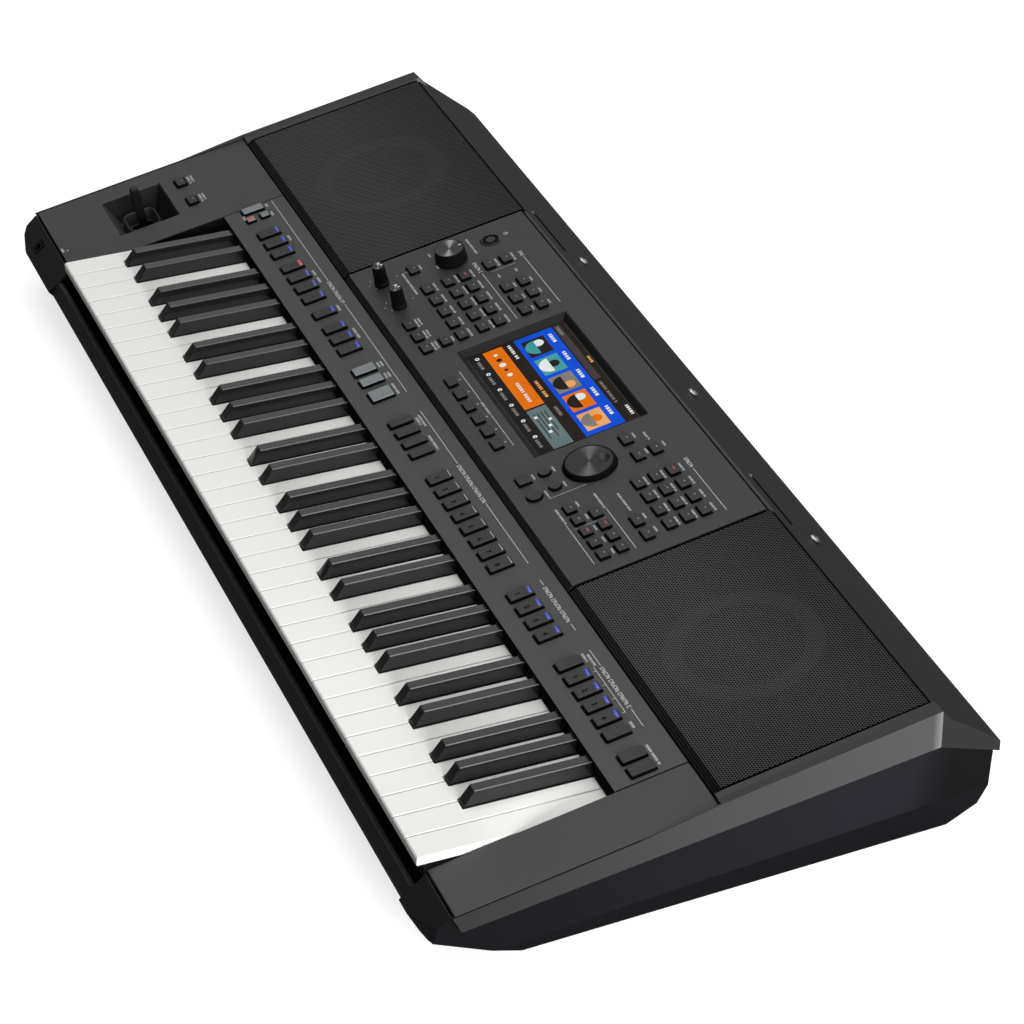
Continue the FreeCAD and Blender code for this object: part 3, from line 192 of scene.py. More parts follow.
def tub_plastic():
    """Black plastic of the tub with painted shade: darker on faces turned to the front or the rear, toward
    both ends of the flanks, and below the crease where the sides turn down.
    """
    place = begin("tub_black")
    clouds = flow_clouds(place)
    y, turn = place.axis("Y"), place.facing().axis("Y")
    # Painted shade: the facet below the crease and the faces turned to the front or the rear take the darker
    # tone.
    shaded_under_crease = place.axis("Z") - y * CREASE_RISE < CREASE_HEIGHT
    ends = (turn < -0.25).most((turn > 0.3) * 0.75)
    flank = clouds.blend((0.0125, 0.012, 0.0155), (0.0145, 0.014, 0.018))
    # Painted shade: the flank darkens toward its front and toward its rear end.
    flank = y.ramp(-0.2, 0.1).blend((0.0055, 0.0055, 0.0065), flank)
    flank = y.ramp(0.145, 0.175).blend(flank, (0.005, 0.005, 0.0055))
    # Painted shade tone for the faces below the crease and at the ends.
    foot = clouds.blend((0.0042, 0.0042, 0.0052), (0.0054, 0.0054, 0.0066))
    return grained(place, clouds, shaded_under_crease.most(ends).blend(flank, foot), 0.5, 0.12, 0.18)


soften("lower_case", tub_plastic(), 0.9, 3)


# Feet and case screws: soft rubber pads glued to the floor of the tub, and zinc-plated screws
# in the underside that hold the tub to the upper case.

soften("feet", moulded("foot_rubber", (0.02, 0.02, 0.02), 0.85, 0.4), 1.0)
SCREW_PLACES = [(x, y) for x in (-420, -210, 0, 210, 420) for y in (-118, 60, 178)]
SCREW_PROFILE = ((3.4, 0.0), (3.3, -0.7), (2.4, -1.1), (1.5, -1.15), (1.0, -0.5))
SCREW_SIDES = 24
TUB_FLOOR = 4.5


def loft(part, rings, finish=0, lid=True):
    """Skins a row of matching rings into part and closes the last."""
    rows = [[part.verts.new(p) for p in ring] for ring in rings]
    faces = [part.faces.new((a[i - 1], a[i], b[i], b[i - 1]))
             for a, b in zip(rows, rows[1:]) for i in range(len(a))]
    if lid:
        faces.append(part.faces.new(rows[-1]))
    for face in faces:
        face.material_index = finish


def piece_of(name, shape, materials, body, nodes=(), smooth=35):
    """Makes a piece by the function that fills its mesh, on the body it rides and for its nodes."""
    part = bmesh.new()
    shape(part)
    bmesh.ops.recalc_face_normals(part, faces=part.faces)
    mesh = bpy.data.meshes.new(name)
    part.to_mesh(mesh)
    part.free()
    for material in materials:
        mesh.materials.append(material)
    if smooth:
        mesh.shade_smooth()
        mesh.set_sharp_from_angle(angle=math.radians(smooth))
    piece = bpy.data.objects.new(name, mesh)
    bpy.context.scene.collection.objects.link(piece)
    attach(piece, body)
    if nodes:
        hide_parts(*nodes)
    return piece


def circle(radius, height, sides, centre=(0.0, 0.0), flute=0.0):
    """Ring of points in metres from millimetres; every second point is drawn in by flute."""
    points = []
    for i in range(sides):
        r = radius - flute * (i % 2)
        a = 2 * math.pi * i / sides
        points.append(Vector((centre[0] + r * math.cos(a), centre[1] + r * math.sin(a), height)) / 1000)
    return points


def case_screws(part):
    for place in SCREW_PLACES:
        loft(part, [circle(r, TUB_FLOOR + h, SCREW_SIDES, place) for r, h in SCREW_PROFILE])


def screw_zinc():
    """Zinc-plated steel with fine turned rings."""
    place = begin("screw_zinc")
    rings = place.add("ShaderNodeTexWave", {"wave_type": "RINGS", "rings_direction": "Z"},
                      {"Vector": place, "Scale": 400.0, "Distortion": 0.4, "Detail": 1.0}, "Fac")
    cloud = place.noise(60.0, 3.0)
    return place.surface({"Base Color": cloud.tint((0.3, 0.3, 0.31), 0.85, 1.12), "Metallic": 1.0,
                          "Roughness": cloud * 0.1 + 0.35, "Normal": rings.bump(0.25, 0.0001)})


piece_of("case_screws", case_screws, [screw_zinc()], "case")


# Boards, chassis and speakers: green circuit boards on posts, a folded steel key chassis, and
# two loudspeakers with pressed baskets and ribbed paper cones, screwed under their baffles.

def circuit_board():
    place = begin("board_green")
    tracks = place.add("ShaderNodeTexBrick", {}, {
        "Vector": place, "Scale": 90.0, "Color1": (0.012, 0.11, 0.04, 1), "Color2": (0.016, 0.14, 0.05, 1),
        "Mortar": (0.03, 0.2, 0.08, 1), "Mortar Size": 0.03}, "Color")
    height = place.noise(500.0)
    return place.surface({"Base Color": tracks, "Roughness": height * 0.2 + 0.35,
                          "Normal": height.bump(0.2, 0.0002)})


def rolled_steel():
    place = begin("chassis_steel")
    stretched = place.add("ShaderNodeMapping", {}, {"Vector": place, "Scale": (4.0, 400.0, 400.0)})
    streaks = stretched.noise(3.0, 4.0)
    tone = streaks.blend((0.42, 0.43, 0.44), (0.6, 0.6, 0.6))
    return place.surface({"Base Color": tone, "Metallic": 1.0, "Roughness": streaks * 0.25 + 0.3})


def ribbed_paper():
    place = begin("cone_paper")
    fibres = place.noise(900.0, 5.0)
    tone = fibres.blend((0.03, 0.03, 0.03), (0.06, 0.058, 0.055))
    return place.surface({"Base Color": tone, "Roughness": fibres * 0.1 + 0.85,
                          "Normal": fibres.bump(0.5, 0.0003)})


BOARD_GREEN = circuit_board()
STEEL = rolled_steel()
for node in ("main_board", "amplifier_board", "panel_boards", "key_contact_board"):
    soften(node, BOARD_GREEN, 0.2)
soften("key_chassis", STEEL, 0.4)
soften("speakers", moulded("basket_paint", (0.03, 0.03, 0.03), 0.5, 0.1), 0.5)
soften("speaker_cones", ribbed_paper(), 0.2)


# Keys: white and black gloss plastic, moulded as combs, three to an octave, that flex at the
# back. The white keys have a broken front edge, the black ones raked fronts and drawn sides.

def key_plastic(name, colour, rear, treble, edge, rough, coat):
    """Key moulding with faint flow lines; painted light toward the rear, painted shade toward the treble,
    and painted highlights on the long top edges toward the treble.
    """
    place = begin(name)
    x, y = place.axis("X"), place.axis("Y")
    along = place.add("ShaderNodeMapping", {}, {"Vector": place, "Scale": (300.0, 12.0, 60.0)})
    lines = along.noise(1.0, 3.0)
    touch = place.noise(45.0, 4.0)
    # Painted shade: darker toward the treble end.
    tone = x.ramp(0.25, 0.45).blend(lines.tint(colour, 0.97), treble)
    # Painted light: lighter toward the rear.
    tone = y.ramp(-0.16, -0.08).blend(tone, rear)
    facing = place.facing()
    # Painted highlight: the bevels along the long top edges take the edge colour, more toward the treble.
    turned = (abs(facing.axis("X")) > 0.25) * (facing.axis("Z") > 0.25) * (facing.axis("Y") > -0.2)
    tone = (turned * x.ramp(-0.4, 0.2)).blend(tone, edge)
    return place.surface({"Base Color": tone, "Roughness": touch * 0.12 + rough,
                          "Normal": lines.bump(0.04, 0.0003), "Coat Weight": touch * coat,
                          "Coat Roughness": 0.08})


# The lighter rear ivory is painted light, the darker treble ivory painted shade, and the ebony edge a
# painted highlight.
IVORY, LIT_REAR_IVORY, SHADED_TREBLE_IVORY = (0.8, 0.795, 0.77), (0.96, 0.955, 0.93), (0.71, 0.705, 0.68)
EBONY, EBONY_EDGE_HIGHLIGHT = (0.009, 0.009, 0.0095), (0.11, 0.11, 0.113)
KEY_WHITE = key_plastic("key_white", IVORY, LIT_REAR_IVORY, SHADED_TREBLE_IVORY, IVORY, 0.3, 0.1)
KEY_BLACK = key_plastic("key_black", EBONY, EBONY, EBONY, EBONY_EDGE_HIGHLIGHT, 0.14, 0.0)
for octave in range(1, 6):
    soften(f"black_keys_{octave}", KEY_BLACK, 0.6)
    soften(f"white_keys_a_{octave}", KEY_WHITE, 0.45)
    soften(f"white_keys_b_{octave}", KEY_WHITE, 0.45)
soften("top_key", KEY_WHITE, 0.45)


# Key slip: a low strip of black plastic, screwed to the front rail. It hides the gap under
# the key fronts.

soften("key_slip", moulded("slip_black", (0.008, 0.008, 0.0085), 0.5, 0.12, shine=0.25), 0.6)


# Upper case: the charcoal moulding with the leaning side bands, the rear slope and the baffles.
# It snaps over the tub's rim and is held by screws from below.

# Where painted shade falls on the top rims, and where the painted highlight lies at the rear corner crease,
# in metres.
RIM_IN, RIM_CREASE = 0.494, 0.5008
REAR_CORNER_HIGHLIGHT = (0.1548, 0.1604)


def case_skin():
    """Charcoal plastic with painted light and shade: lighter side bands with a painted highlight at the rear
    corner crease, top rims in painted shade, and a rear slope in painted shade.
    """
    place = begin("case_charcoal")
    clouds, facing = flow_clouds(place), place.facing()
    y, out = place.axis("Y"), abs(place.axis("X"))
    side, behind = abs(facing.axis("X")), facing.axis("Y") > 0.22
    # Painted light: the sides are lighter than the top and lighter toward the rear, with a painted highlight
    # at the rear corner crease.
    lit_band = y.ramp(-0.2, 0.15).blend((0.025, 0.025, 0.026), (0.064, 0.064, 0.065))
    lit_band = y.ramp(*REAR_CORNER_HIGHLIGHT).blend(lit_band, (0.16, 0.16, 0.16))
    top = clouds.blend((0.021, 0.021, 0.022), (0.025, 0.025, 0.026))
    # Painted shade on the top rims beside the grilles, deeper toward the rear, and along the crease.
    rim = ((out > RIM_IN) * y.ramp(-0.02, 0.16)).most(out > RIM_CREASE)
    top = rim.blend(top, (0.011, 0.011, 0.0115))
    tone = (side > 0.8).blend(top, lit_band)
    # Painted shade on the rear slope, lighter on its corner facets that face the side.
    tone = behind.blend(tone, (0.004, 0.004, 0.0045))
    tone = (behind * (side > 0.2)).blend(tone, (0.022, 0.022, 0.0225))
    return grained(place, clouds, tone, 0.5, 0.14, 0.3)


CHARCOAL = case_skin()
soften("upper_case", CHARCOAL, 0.0)


# End blocks: charcoal mouldings beside the keys, screwed from below to the upper case's ledge.
# The left one holds the joystick's well and its two assign buttons.

def charcoal(name, light, *shaded_turns):
    """Charcoal plastic with painted shade: darker and without gloss where its face is turned beyond a given
    value.
    """
    place = begin(name)
    clouds, facing = flow_clouds(place), place.facing()
    tone = clouds.tint([light] * 3, 0.91, 1.09)
    matt = 0.0
    for axis, value, depth in shaded_turns:
        # Painted shade, with the gloss taken away, on faces turned beyond the value.
        in_shade = facing.axis(axis) > value if value > 0 else facing.axis(axis) < value
        tone = in_shade.blend(tone, [depth] * 3)
        matt = in_shade.most(matt)
    return grained(place, clouds, tone, 0.5, 0.14, 0.3, matt)


# Painted shade on the blocks' front faces and on their walls facing the keys and the well.
BLOCK = charcoal("block_charcoal", 0.034, ("Y", -0.4, 0.014), ("X", 0.6, 0.015), ("X", 0.93, 0.005))
soften("left_end_block", BLOCK, 1.2, 3)
soften("right_end_block", BLOCK, 1.2, 3)


# Joystick: a tapered lever on a gimbal, both of hard black plastic. The lever's root runs in a
# pin across the gimbal, and the gimbal on two pins in the ears under the well.

KNOB_BLACK = moulded("knob_black", (0.005, 0.005, 0.0052), 0.42, 0.1, shine=0.25)
soften("joystick_gimbal", KNOB_BLACK, 0.4)
soften("joystick_lever", KNOB_BLACK, 1.1, 4)


# Control strip: charcoal moulding behind the keys, with the buttons of the styles, registrations,
# one-touch settings and pads. Its front wall, in painted shade, drops to the keys as a fallboard.

# Painted shade on the strip's front wall.
soften("control_strip", charcoal("strip_charcoal", 0.042, ("Y", -0.55, 0.006)), 0.4)

SLOPE = math.radians(10.8)
KEY_Y = -200.501
TOP_Z = 66.602


def lay(x, v, w):
    """Place on the sloping control surface: across, up the slope and above it, in millimetres."""
    y = KEY_Y + v * math.cos(SLOPE) - w * math.sin(SLOPE)
    z = TOP_Z + v * math.sin(SLOPE) + w * math.cos(SLOPE)
    return Vector((x, y, z)) / 1000


def flat_box(points):
    """Lowest and highest place of points on the control surface."""
    places = []
    for p in points:
        y, z = p.y - KEY_Y, p.z - TOP_Z
        up, over = y * math.cos(SLOPE) + z * math.sin(SLOPE), z * math.cos(SLOPE) - y * math.sin(SLOPE)
        places.append((p.x, up, over))
    low, high = [min(c) for c in zip(*places)], [max(c) for c in zip(*places)]
    return low[0], high[0], low[1], high[1], low[2], high[2]


CAP_RISE = 0.7


def caps_of(node):
    """Sides of each cap in a node, in millimetres across, up the slope and above it."""
    joined = bmesh.new()
    joined.from_mesh(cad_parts[node].data)
    bmesh.ops.remove_doubles(joined, verts=joined.verts, dist=TOUCHING)
    left = set(joined.verts)
    caps = []
    while left:
        heap = [left.pop()]
        island = []
        while heap:
            vert = heap.pop()
            island.append(vert.co * 1000)
            near = {edge.other_vert(vert) for edge in vert.link_edges} & left
            left -= near
            heap += near
        *sides, top = flat_box(island)
        caps.append((*sides, top + CAP_RISE))
    joined.free()
    return sorted(caps)


def middle_of(sides):
    return (sides[0] + sides[1]) / 2, (sides[2] + sides[3]) / 2


def rounded(sides, inset, radius, w, steps=4):
    """Rounded rectangle on the control surface as a ring of points, drawn in from its sides."""
    reach = inset + radius
    x0, x1, v0, v1 = sides[0] + reach, sides[1] - reach, sides[2] + reach, sides[3] - reach
    points = []
    for x, v, turn in ((x1, v1, 0), (x0, v1, 1), (x0, v0, 2), (x1, v0, 3)):
        for i in range(steps + 1):
            angle = math.pi / 2 * (turn + i / steps)
            points.append(lay(x + radius * math.cos(angle), v + radius * math.sin(angle), w))
    return points


CAP_DRAFT, CAP_EDGE, CAP_DISH = 0.4, 0.45, 0.15


def cap(part, sides, top_finish=0):
    """Button cap with drafted sides in painted shade, a rounded rim and a faintly dished top."""
    w0, w1 = sides[4:]
    walls = [rounded(sides, 0.0, 0.8, w0), rounded(sides, CAP_DRAFT * 0.8, 0.8, w1 - CAP_EDGE)]
    rim = [walls[-1], rounded(sides, CAP_DRAFT + 0.1, 0.9, w1 - CAP_EDGE * 0.3),
           rounded(sides, CAP_DRAFT + CAP_EDGE, 0.9, w1), rounded(sides, 2.2, 1.2, w1 - CAP_DISH)]
    loft(part, walls, SIDE_SHADE, lid=False)
    loft(part, rim, top_finish)


def slab(part, x0, x1, v0, v1, w0, w1, finish):
    """Small raised block with a broken rim, such as a lamp's lens."""
    profile = ((0.0, w0), (0.0, w1 - 0.12), (0.15, w1))
    loft(part, [rounded((x0, x1, v0, v1), inset, 0.25, w, 2) for inset, w in profile], finish)


def lamp_lens(name, colour, glow):
    """Light-pipe lens, brighter in its middle streaks where its lamp is lit."""
    place = begin(name)
    streak = place.noise(420.0, 1.0)
    lit = streak.tint(colour, 0.55)
    return place.surface({"Base Color": lit, "Roughness": streak * 0.1 + 0.2, "Emission Color": lit,
                          "Emission Strength": glow})


# The cap sides' finish is near black: painted shade on the sides of the caps.
CAP_FINISHES = [moulded("cap_black", (0.0165, 0.0165, 0.0172), 0.5, 0.08, shine=0.3),
                moulded("cap_side", (0.002, 0.002, 0.002), 0.6, 0.05, shine=0.1),
                moulded("cap_grey", (0.15, 0.17, 0.18), 0.45, 0.08),
                moulded("cap_mark", (0.002, 0.002, 0.002), 0.6, 0.02, shine=0.05),
                lamp_lens("lens_blue", (0.008, 0.018, 0.2), 0.5),
                lamp_lens("lens_red", (0.4, 0.05, 0.04), 0.3),
                lamp_lens("lens_clear", (0.42, 0.42, 0.43), 0.0),
                lamp_lens("lens_off", (0.2, 0.2, 0.2), 0.0),
                lamp_lens("lens_core", (0.045, 0.085, 0.48), 0.55)]
TOP, SIDE_SHADE, GREY, MARK, BLUE, RED, CLEAR, OFF, CORE = range(9)
FIGURE_SIZE, FIGURE_WEIGHT, FIGURE_DROP = 5.4, 0.03, 2.0


def number(part, digit, x, v, w):
    """One plain figure, flat on a cap, in the mark's finish."""
    curve = bpy.data.curves.new("figure", "FONT")
    curve.body = str(digit)
    curve.offset = FIGURE_WEIGHT
    curve.align_x = curve.align_y = "CENTER"
    carrier = bpy.data.objects.new("figure", curve)
    bpy.context.scene.collection.objects.link(carrier)
    figure = bpy.data.meshes.new_from_object(carrier.evaluated_get(bpy.context.evaluated_depsgraph_get()))
    places = [lay(x + p.co.x * FIGURE_SIZE, v + p.co.y * FIGURE_SIZE, w) for p in figure.vertices]
    verts = [part.verts.new(p) for p in places]
    for polygon in figure.polygons:
        part.faces.new([verts[i] for i in polygon.vertices]).material_index = MARK
    bpy.data.objects.remove(carrier)
    bpy.data.curves.remove(curve)
    bpy.data.meshes.remove(figure)


def strip_lamp(part, sides, finish):
    """Lens bar across the rear end of a strip button."""
    x0, x1, _, v1, _, w1 = sides
    deep = 2.9 if finish != CLEAR else 0.8
    rear = v1 - 0.9
    slab(part, x0 + 1.3, x1 - 1.3, rear - deep, rear, w1 - 0.4, w1 + 0.05, finish)
    if finish == BLUE:
        slab(part, x0 + 2.4, x1 - 2.2, rear - 1.75, rear - 0.75, w1 - 0.1, w1 + 0.12, CORE)


GREY_FROM, GREY_TO = -120, -370
RED_KEY_X = -284
SHORT_CAP, FRONT_ROW = 10, 171


def style_caps(part, node):
    """Style buttons: grey start keys, dark part keys with blue lamps, and one lit red."""
    for sides in caps_of(node):
        x, v = middle_of(sides)
        top = sides[5]
        grey = x > GREY_FROM or x < GREY_TO
        cap(part, sides, GREY if grey else TOP)
        if x < GREY_TO and sides[3] - sides[2] < SHORT_CAP and v < FRONT_ROW:
            slab(part, x - 2.6, x + 2.6, v - 2.2, v + 2.2, top - 0.3, top + 0.05, RED)
        if not grey:
            strip_lamp(part, sides, RED if abs(x - RED_KEY_X) < 5 else BLUE)
            slab(part, x - 1.4, x + 1.4, v - 1.0, v - 0.4, top - 0.3, top - 0.06, MARK)


def numbered_caps(part, node, lamp, count, first):
    """Strip buttons, of which count have a lamp and a figure, from the cap that is first numbered."""
    for i, sides in enumerate(caps_of(node)):
        cap(part, sides)
        figure = i - first + 1
        if 1 <= figure <= count:
            x, v = middle_of(sides)
            strip_lamp(part, sides, lamp)
            number(part, figure, x, v - FIGURE_DROP, sides[5] + 0.02)


LIT_WITHIN = 4.0


def plain_caps(part, node, lit=()):
    """Small buttons with a dash of a lamp near the rear edge; those nearest to lit are on."""
    for sides in caps_of(node):
        cap(part, sides)
        x, v = middle_of(sides)
        on = any(math.hypot(x - a, v - b) < LIT_WITHIN for a, b in lit)
        half = 2.2 if on else 1.1
        slab(part, x - half, x + half, v + 0.9, v + 1.9, sides[5] - 0.3, sides[5] - 0.02, RED if on else OFF)


def set_caps(node, shape, *details):
    """Puts the caps of a group in the place of its node, on the slide that carries them."""
    piece_of(node.replace("button", "cap"), lambda part: shape(part, node, *details), CAP_FINISHES, node,
             [node])


set_caps("style_buttons", style_caps)
set_caps("registration_buttons", numbered_caps, CLEAR, 8, 4)
set_caps("one_touch_buttons", numbered_caps, BLUE, 4, 0)
set_caps("pad_buttons", numbered_caps, BLUE, 4, 1)
set_caps("joystick_buttons", plain_caps)


# Print: pale ink screened on the strip and the panel, in rows of short marks, thin rules that
# gather the groups, and ticks that lead to the caps. Black lines of painted shade fill the joints and slots.

INK_LIFT = 0.04


def pale_ink(name, colour):
    place = begin(name)
    mesh = place.noise(1500.0)
    return place.surface({"Base Color": mesh.tint(colour, 0.85), "Roughness": mesh * 0.1 + 0.55})


# The near-black seam finish is painted shade in the joints and slots.
INK = [pale_ink("ink_white", (0.58, 0.58, 0.58)), pale_ink("ink_grey", (0.42, 0.42, 0.42)),
       moulded("seam_black", (0.002, 0.002, 0.002), 0.7, 0.0, shine=0.05)]
WHITE_INK, GREY_INK, SEAM_SHADE = range(3)


def bar(part, x0, x1, v0, v1, face=0.0, finish=WHITE_INK):
    """One flat printed mark on a surface at height face."""
    w = face + INK_LIFT
    corners = [lay(x0, v0, w), lay(x1, v0, w), lay(x1, v1, w), lay(x0, v1, w)]
    part.faces.new([part.verts.new(p) for p in corners]).material_index = finish


def dot(part, x, v, half, face=0.0, finish=WHITE_INK):
    bar(part, x - half, x + half, v - half, v + half, face, finish)


def rule(part, x0, x1, v, face=0.0, thick=0.4):
    bar(part, x0, x1, v - thick / 2, v + thick / 2, face)


TALL_MARK = 2.5


def tall_mark(part, x, wide, v, tall, face, kind):
    """Stem with two thin strokes beside it."""
    thick = 0.17 * tall
    low, high, end = v - tall / 2, v + tall / 2, x + wide
    bar(part, x, x + thick, low, high, face)
    if kind != 1:
        bar(part, x + thick, end, high - thick, high, face)
    if kind != 2:
        bar(part, x + thick, end, low, low + thick, face)
    if kind != 0:
        bar(part, end - thick, end, low + thick, high - thick, face)


def mark_row(part, x0, x1, v, tall, face=0.0, finish=GREY_INK):
    """Row of marks: thin strokes where they are tall, plain bars where they are small."""
    x = x0
    step = 0
    while x < x1 - 0.3 * tall:
        wide = min(tall * (0.42, 0.66, 0.5, 0.74, 0.58)[step % 5], x1 - x)
        if tall > TALL_MARK:
            tall_mark(part, x, wide, v, tall, face, (step * 2) % 3)
        else:
            bar(part, x, x + wide, v - tall / 2, v + tall / 2, face, finish)
        x += wide + tall * (0.7 if step % 6 == 5 else 0.24)
        step += 1


def strip_print(part):
    for x0, x1 in ((-393.9, -247.5), (-206.5, -61.7), (-31.2, 50.0), (108.5, 193.0), (215.5, 223.0),
                   (274.5, 283.0), (308.3, 328.4), (382.5, 403.2)):
        rule(part, x0, x1, 189.8)
    for x0, x1 in ((-245.5, -208.5), (52.0, 106.5), (225.5, 273.0), (330.5, 381.0)):
        mark_row(part, x0, x1, 189.4, 3.0)
    for x0, x1 in ((-392, -387), (-378, -371), (-333, -323), (-270, -261), (-258, -248), (-209, -200),
                   (-170, -153), (-25, -13), (3, 24), (394, 402), (422, 445), (-79, -63)):
        mark_row(part, x0, x1, 183.7, 1.9)
    rows = [(x - 4, x + 4, v) for x in (-109.2, -91.8) for v in (183.4, 186.2)]
    for x0, x1, v in rows + [(-27, -10, 186.4), (309, 319, 183.4), (312, 327, 186.6)]:
        mark_row(part, x0, x1, v, 1.7)
    for x in (-471.5, -437.5):
        mark_row(part, x - 6.5, x + 6.5, 138.6, 1.9)
        mark_row(part, x - 6.5, x + 5.5, 141.6, 1.9)
    mark_row(part, -385.0, -378.0, 160.4, 2.2)
    mark_row(part, -437.0, -430.0, 9.0, 2.0, finish=WHITE_INK)
    dot(part, -431.3, 12.9, 0.7)
    rule(part, 327.0, 383.0, 184.9, thick=0.35)
    for x in (331.9, 349.0, 366.0, 383.0):
        bar(part, x - 0.2, x + 0.2, 182.6, 184.9)


CAP_GAP, SNUG = 0.55, 0.03
CAP_CORNER = 1.2


def cap_gap(part, sides, radius, face, front=0.0):
    """Dark slot round a cap, where the moulding is open: painted shade in the gap, widened at the cap's
    front as painted shadow.
    """
    x0, x1, v0, v1 = sides[:4]
    outer = rounded((x0, x1, v0 - front, v1), -CAP_GAP, radius, face + SNUG, 8)
    inner = rounded(sides, -SNUG, radius - CAP_GAP + SNUG, face + SNUG, 8)
    loft(part, [outer, inner], SEAM_SHADE, lid=False)


def cap_gaps(part, nodes, face, front):
    for node in nodes:
        for sides in caps_of(node):
            cap_gap(part, sides, CAP_CORNER, face, front)


def seams(part):
    """Shadow lines where the strip, the end blocks and the grilles meet."""
    for x, v0 in ((-395.75, 147.0), (453.32, 147.0), (-506.5, 7.0), (506.5, 7.0)):
        bar(part, x - 0.3, x + 0.3, v0, 201.4, finish=SEAM_SHADE)
    for x0, x1 in ((-494.9, -241.5), (241.5, 494.9)):
        bar(part, x0, x1, 366.3, 368.3, finish=SEAM_SHADE)


def print_on(name, marks):
    piece_of(name, marks, INK, "case", smooth=0)


STRIP_NODES = ("style_buttons", "registration_buttons", "one_touch_buttons", "pad_buttons",
               "joystick_buttons")
print_on("strip_print", strip_print)
print_on("seam_lines", seams)
print_on("strip_gaps", lambda part: cap_gaps(part, STRIP_NODES, 0.0, 0.8))


# Joystick boot and paddle: a collar of charcoal rubber lies round the lever's slot in the well's
# floor, and a slim cap is pressed on the lever for the finger.

STICK = (-454.5, 86.4)
BOOT = ((35.6, 31.6, 9.0, -19.9), (35.4, 31.4, 9.0, -13.4), (33.8, 29.8, 8.4, -11.2),
        (30.6, 28.2, 7.4, -10.2), (27.2, 26.8, 5.4, -10.4), (25.4, 25.4, 4.0, -11.6),
        (21.0, 21.0, 2.0, -19.9))
PADDLE = ((8.2, 8.2, 1.6, 10.0), (7.6, 7.6, 1.8, 19.5), (7.0, 7.0, 1.9, 21.6), (5.6, 5.6, 1.8, 22.4),
          (3.0, 3.0, 1.2, 22.6))


def stick_rings(profile):
    """Rings round the lever, by the width, length, corner radius and height of each."""
    x, v = STICK
    return [rounded((x - a / 2, x + a / 2, v - b / 2, v + b / 2), 0.0, r, w) for a, b, r, w in profile]


BOOT_RUBBER = moulded("boot_rubber", (0.02, 0.02, 0.0205), 0.5, 0.2, shine=0.3)
piece_of("joystick_boot", lambda part: loft(part, stick_rings(BOOT), lid=False), [BOOT_RUBBER],
         "case")
piece_of("joystick_paddle", lambda part: loft(part, stick_rings(PADDLE)), [KNOB_BLACK],
         "joystick_lever")


# Centre panel: a raised charcoal moulding between the grilles, clipped into the upper case's
# window, with a hole for every control and a sloping front that rises from the strip.

# Painted shade on the panel's sloping front and on its sides facing right.
soften("centre_panel", charcoal("panel_charcoal", 0.026, ("Y", -0.55, 0.013), ("X", 0.4, 0.013)), 0.5)
PANEL_FACE = 3.5

set_caps("select_buttons", plain_caps, [(-178.5, 286.7)])
set_caps("song_buttons", plain_caps)
set_caps("voice_buttons", plain_caps, [(157.9, 324.0)])
set_caps("part_buttons", plain_caps, [(188.2, 239.3), (188.4, 254.2)])


def lay_rings(sides, count, profile):
    """Circles round the middle of a cap, by how far in from its side and how high they are."""
    x, v = middle_of(sides)
    radius = (sides[1] - sides[0]) / 2
    turn = [2 * math.pi * i / count for i in range(count)]
    return [[lay(x + (radius - inset) * math.cos(a), v + (radius - inset) * math.sin(a), w) for a in turn]
            for inset, w in profile]


ROUND_SIDES, POWER_SIDES = 32, 40
LEAST_ROUND, OUT_OF_ROUND = 9, 0.6


def round_cap(part, sides):
    """Round cap with sides in painted shade, a rolled rim and a dished top."""
    w0, w1 = sides[4:]
    rim = ((0.3, w1 - 0.5), (0.45, w1 - 0.15), (0.9, w1), (2.2, w1 - 0.25))
    loft(part, lay_rings(sides, ROUND_SIDES, ((0.0, w0), rim[0])), SIDE_SHADE, lid=False)
    loft(part, lay_rings(sides, ROUND_SIDES, rim), TOP)


def is_square(sides):
    across, along = sides[1] - sides[0], sides[3] - sides[2]
    return along < LEAST_ROUND or abs(across - along) > OUT_OF_ROUND


def screen_caps(part, node):
    for sides in caps_of(node):
        (cap if is_square(sides) else round_cap)(part, sides)


def power_cap(part, node):
    """Round power button: a flush dark rim and a sunk ring in the near-black finish of the cap sides, the
    ring in painted shade, and a round crown.
    """
    for sides in caps_of(node):
        top = sides[5] - CAP_RISE - 0.4
        floor = top - 1.2
        centre = (sides[1] - sides[0]) / 2 - 0.4
        rim = ((0.0, sides[4]), (0.2, top - 0.3), (0.5, top), (0.9, top), (1.2, floor), (2.2, floor))
        crown = ((2.2, floor), (2.4, top - 0.5), (2.9, top - 0.3), (centre, top - 0.4))
        loft(part, lay_rings(sides, POWER_SIDES, rim), SIDE_SHADE, lid=False)
        loft(part, lay_rings(sides, POWER_SIDES, crown), TOP)


set_caps("screen_buttons", screen_caps)
set_caps("power_button", power_cap)


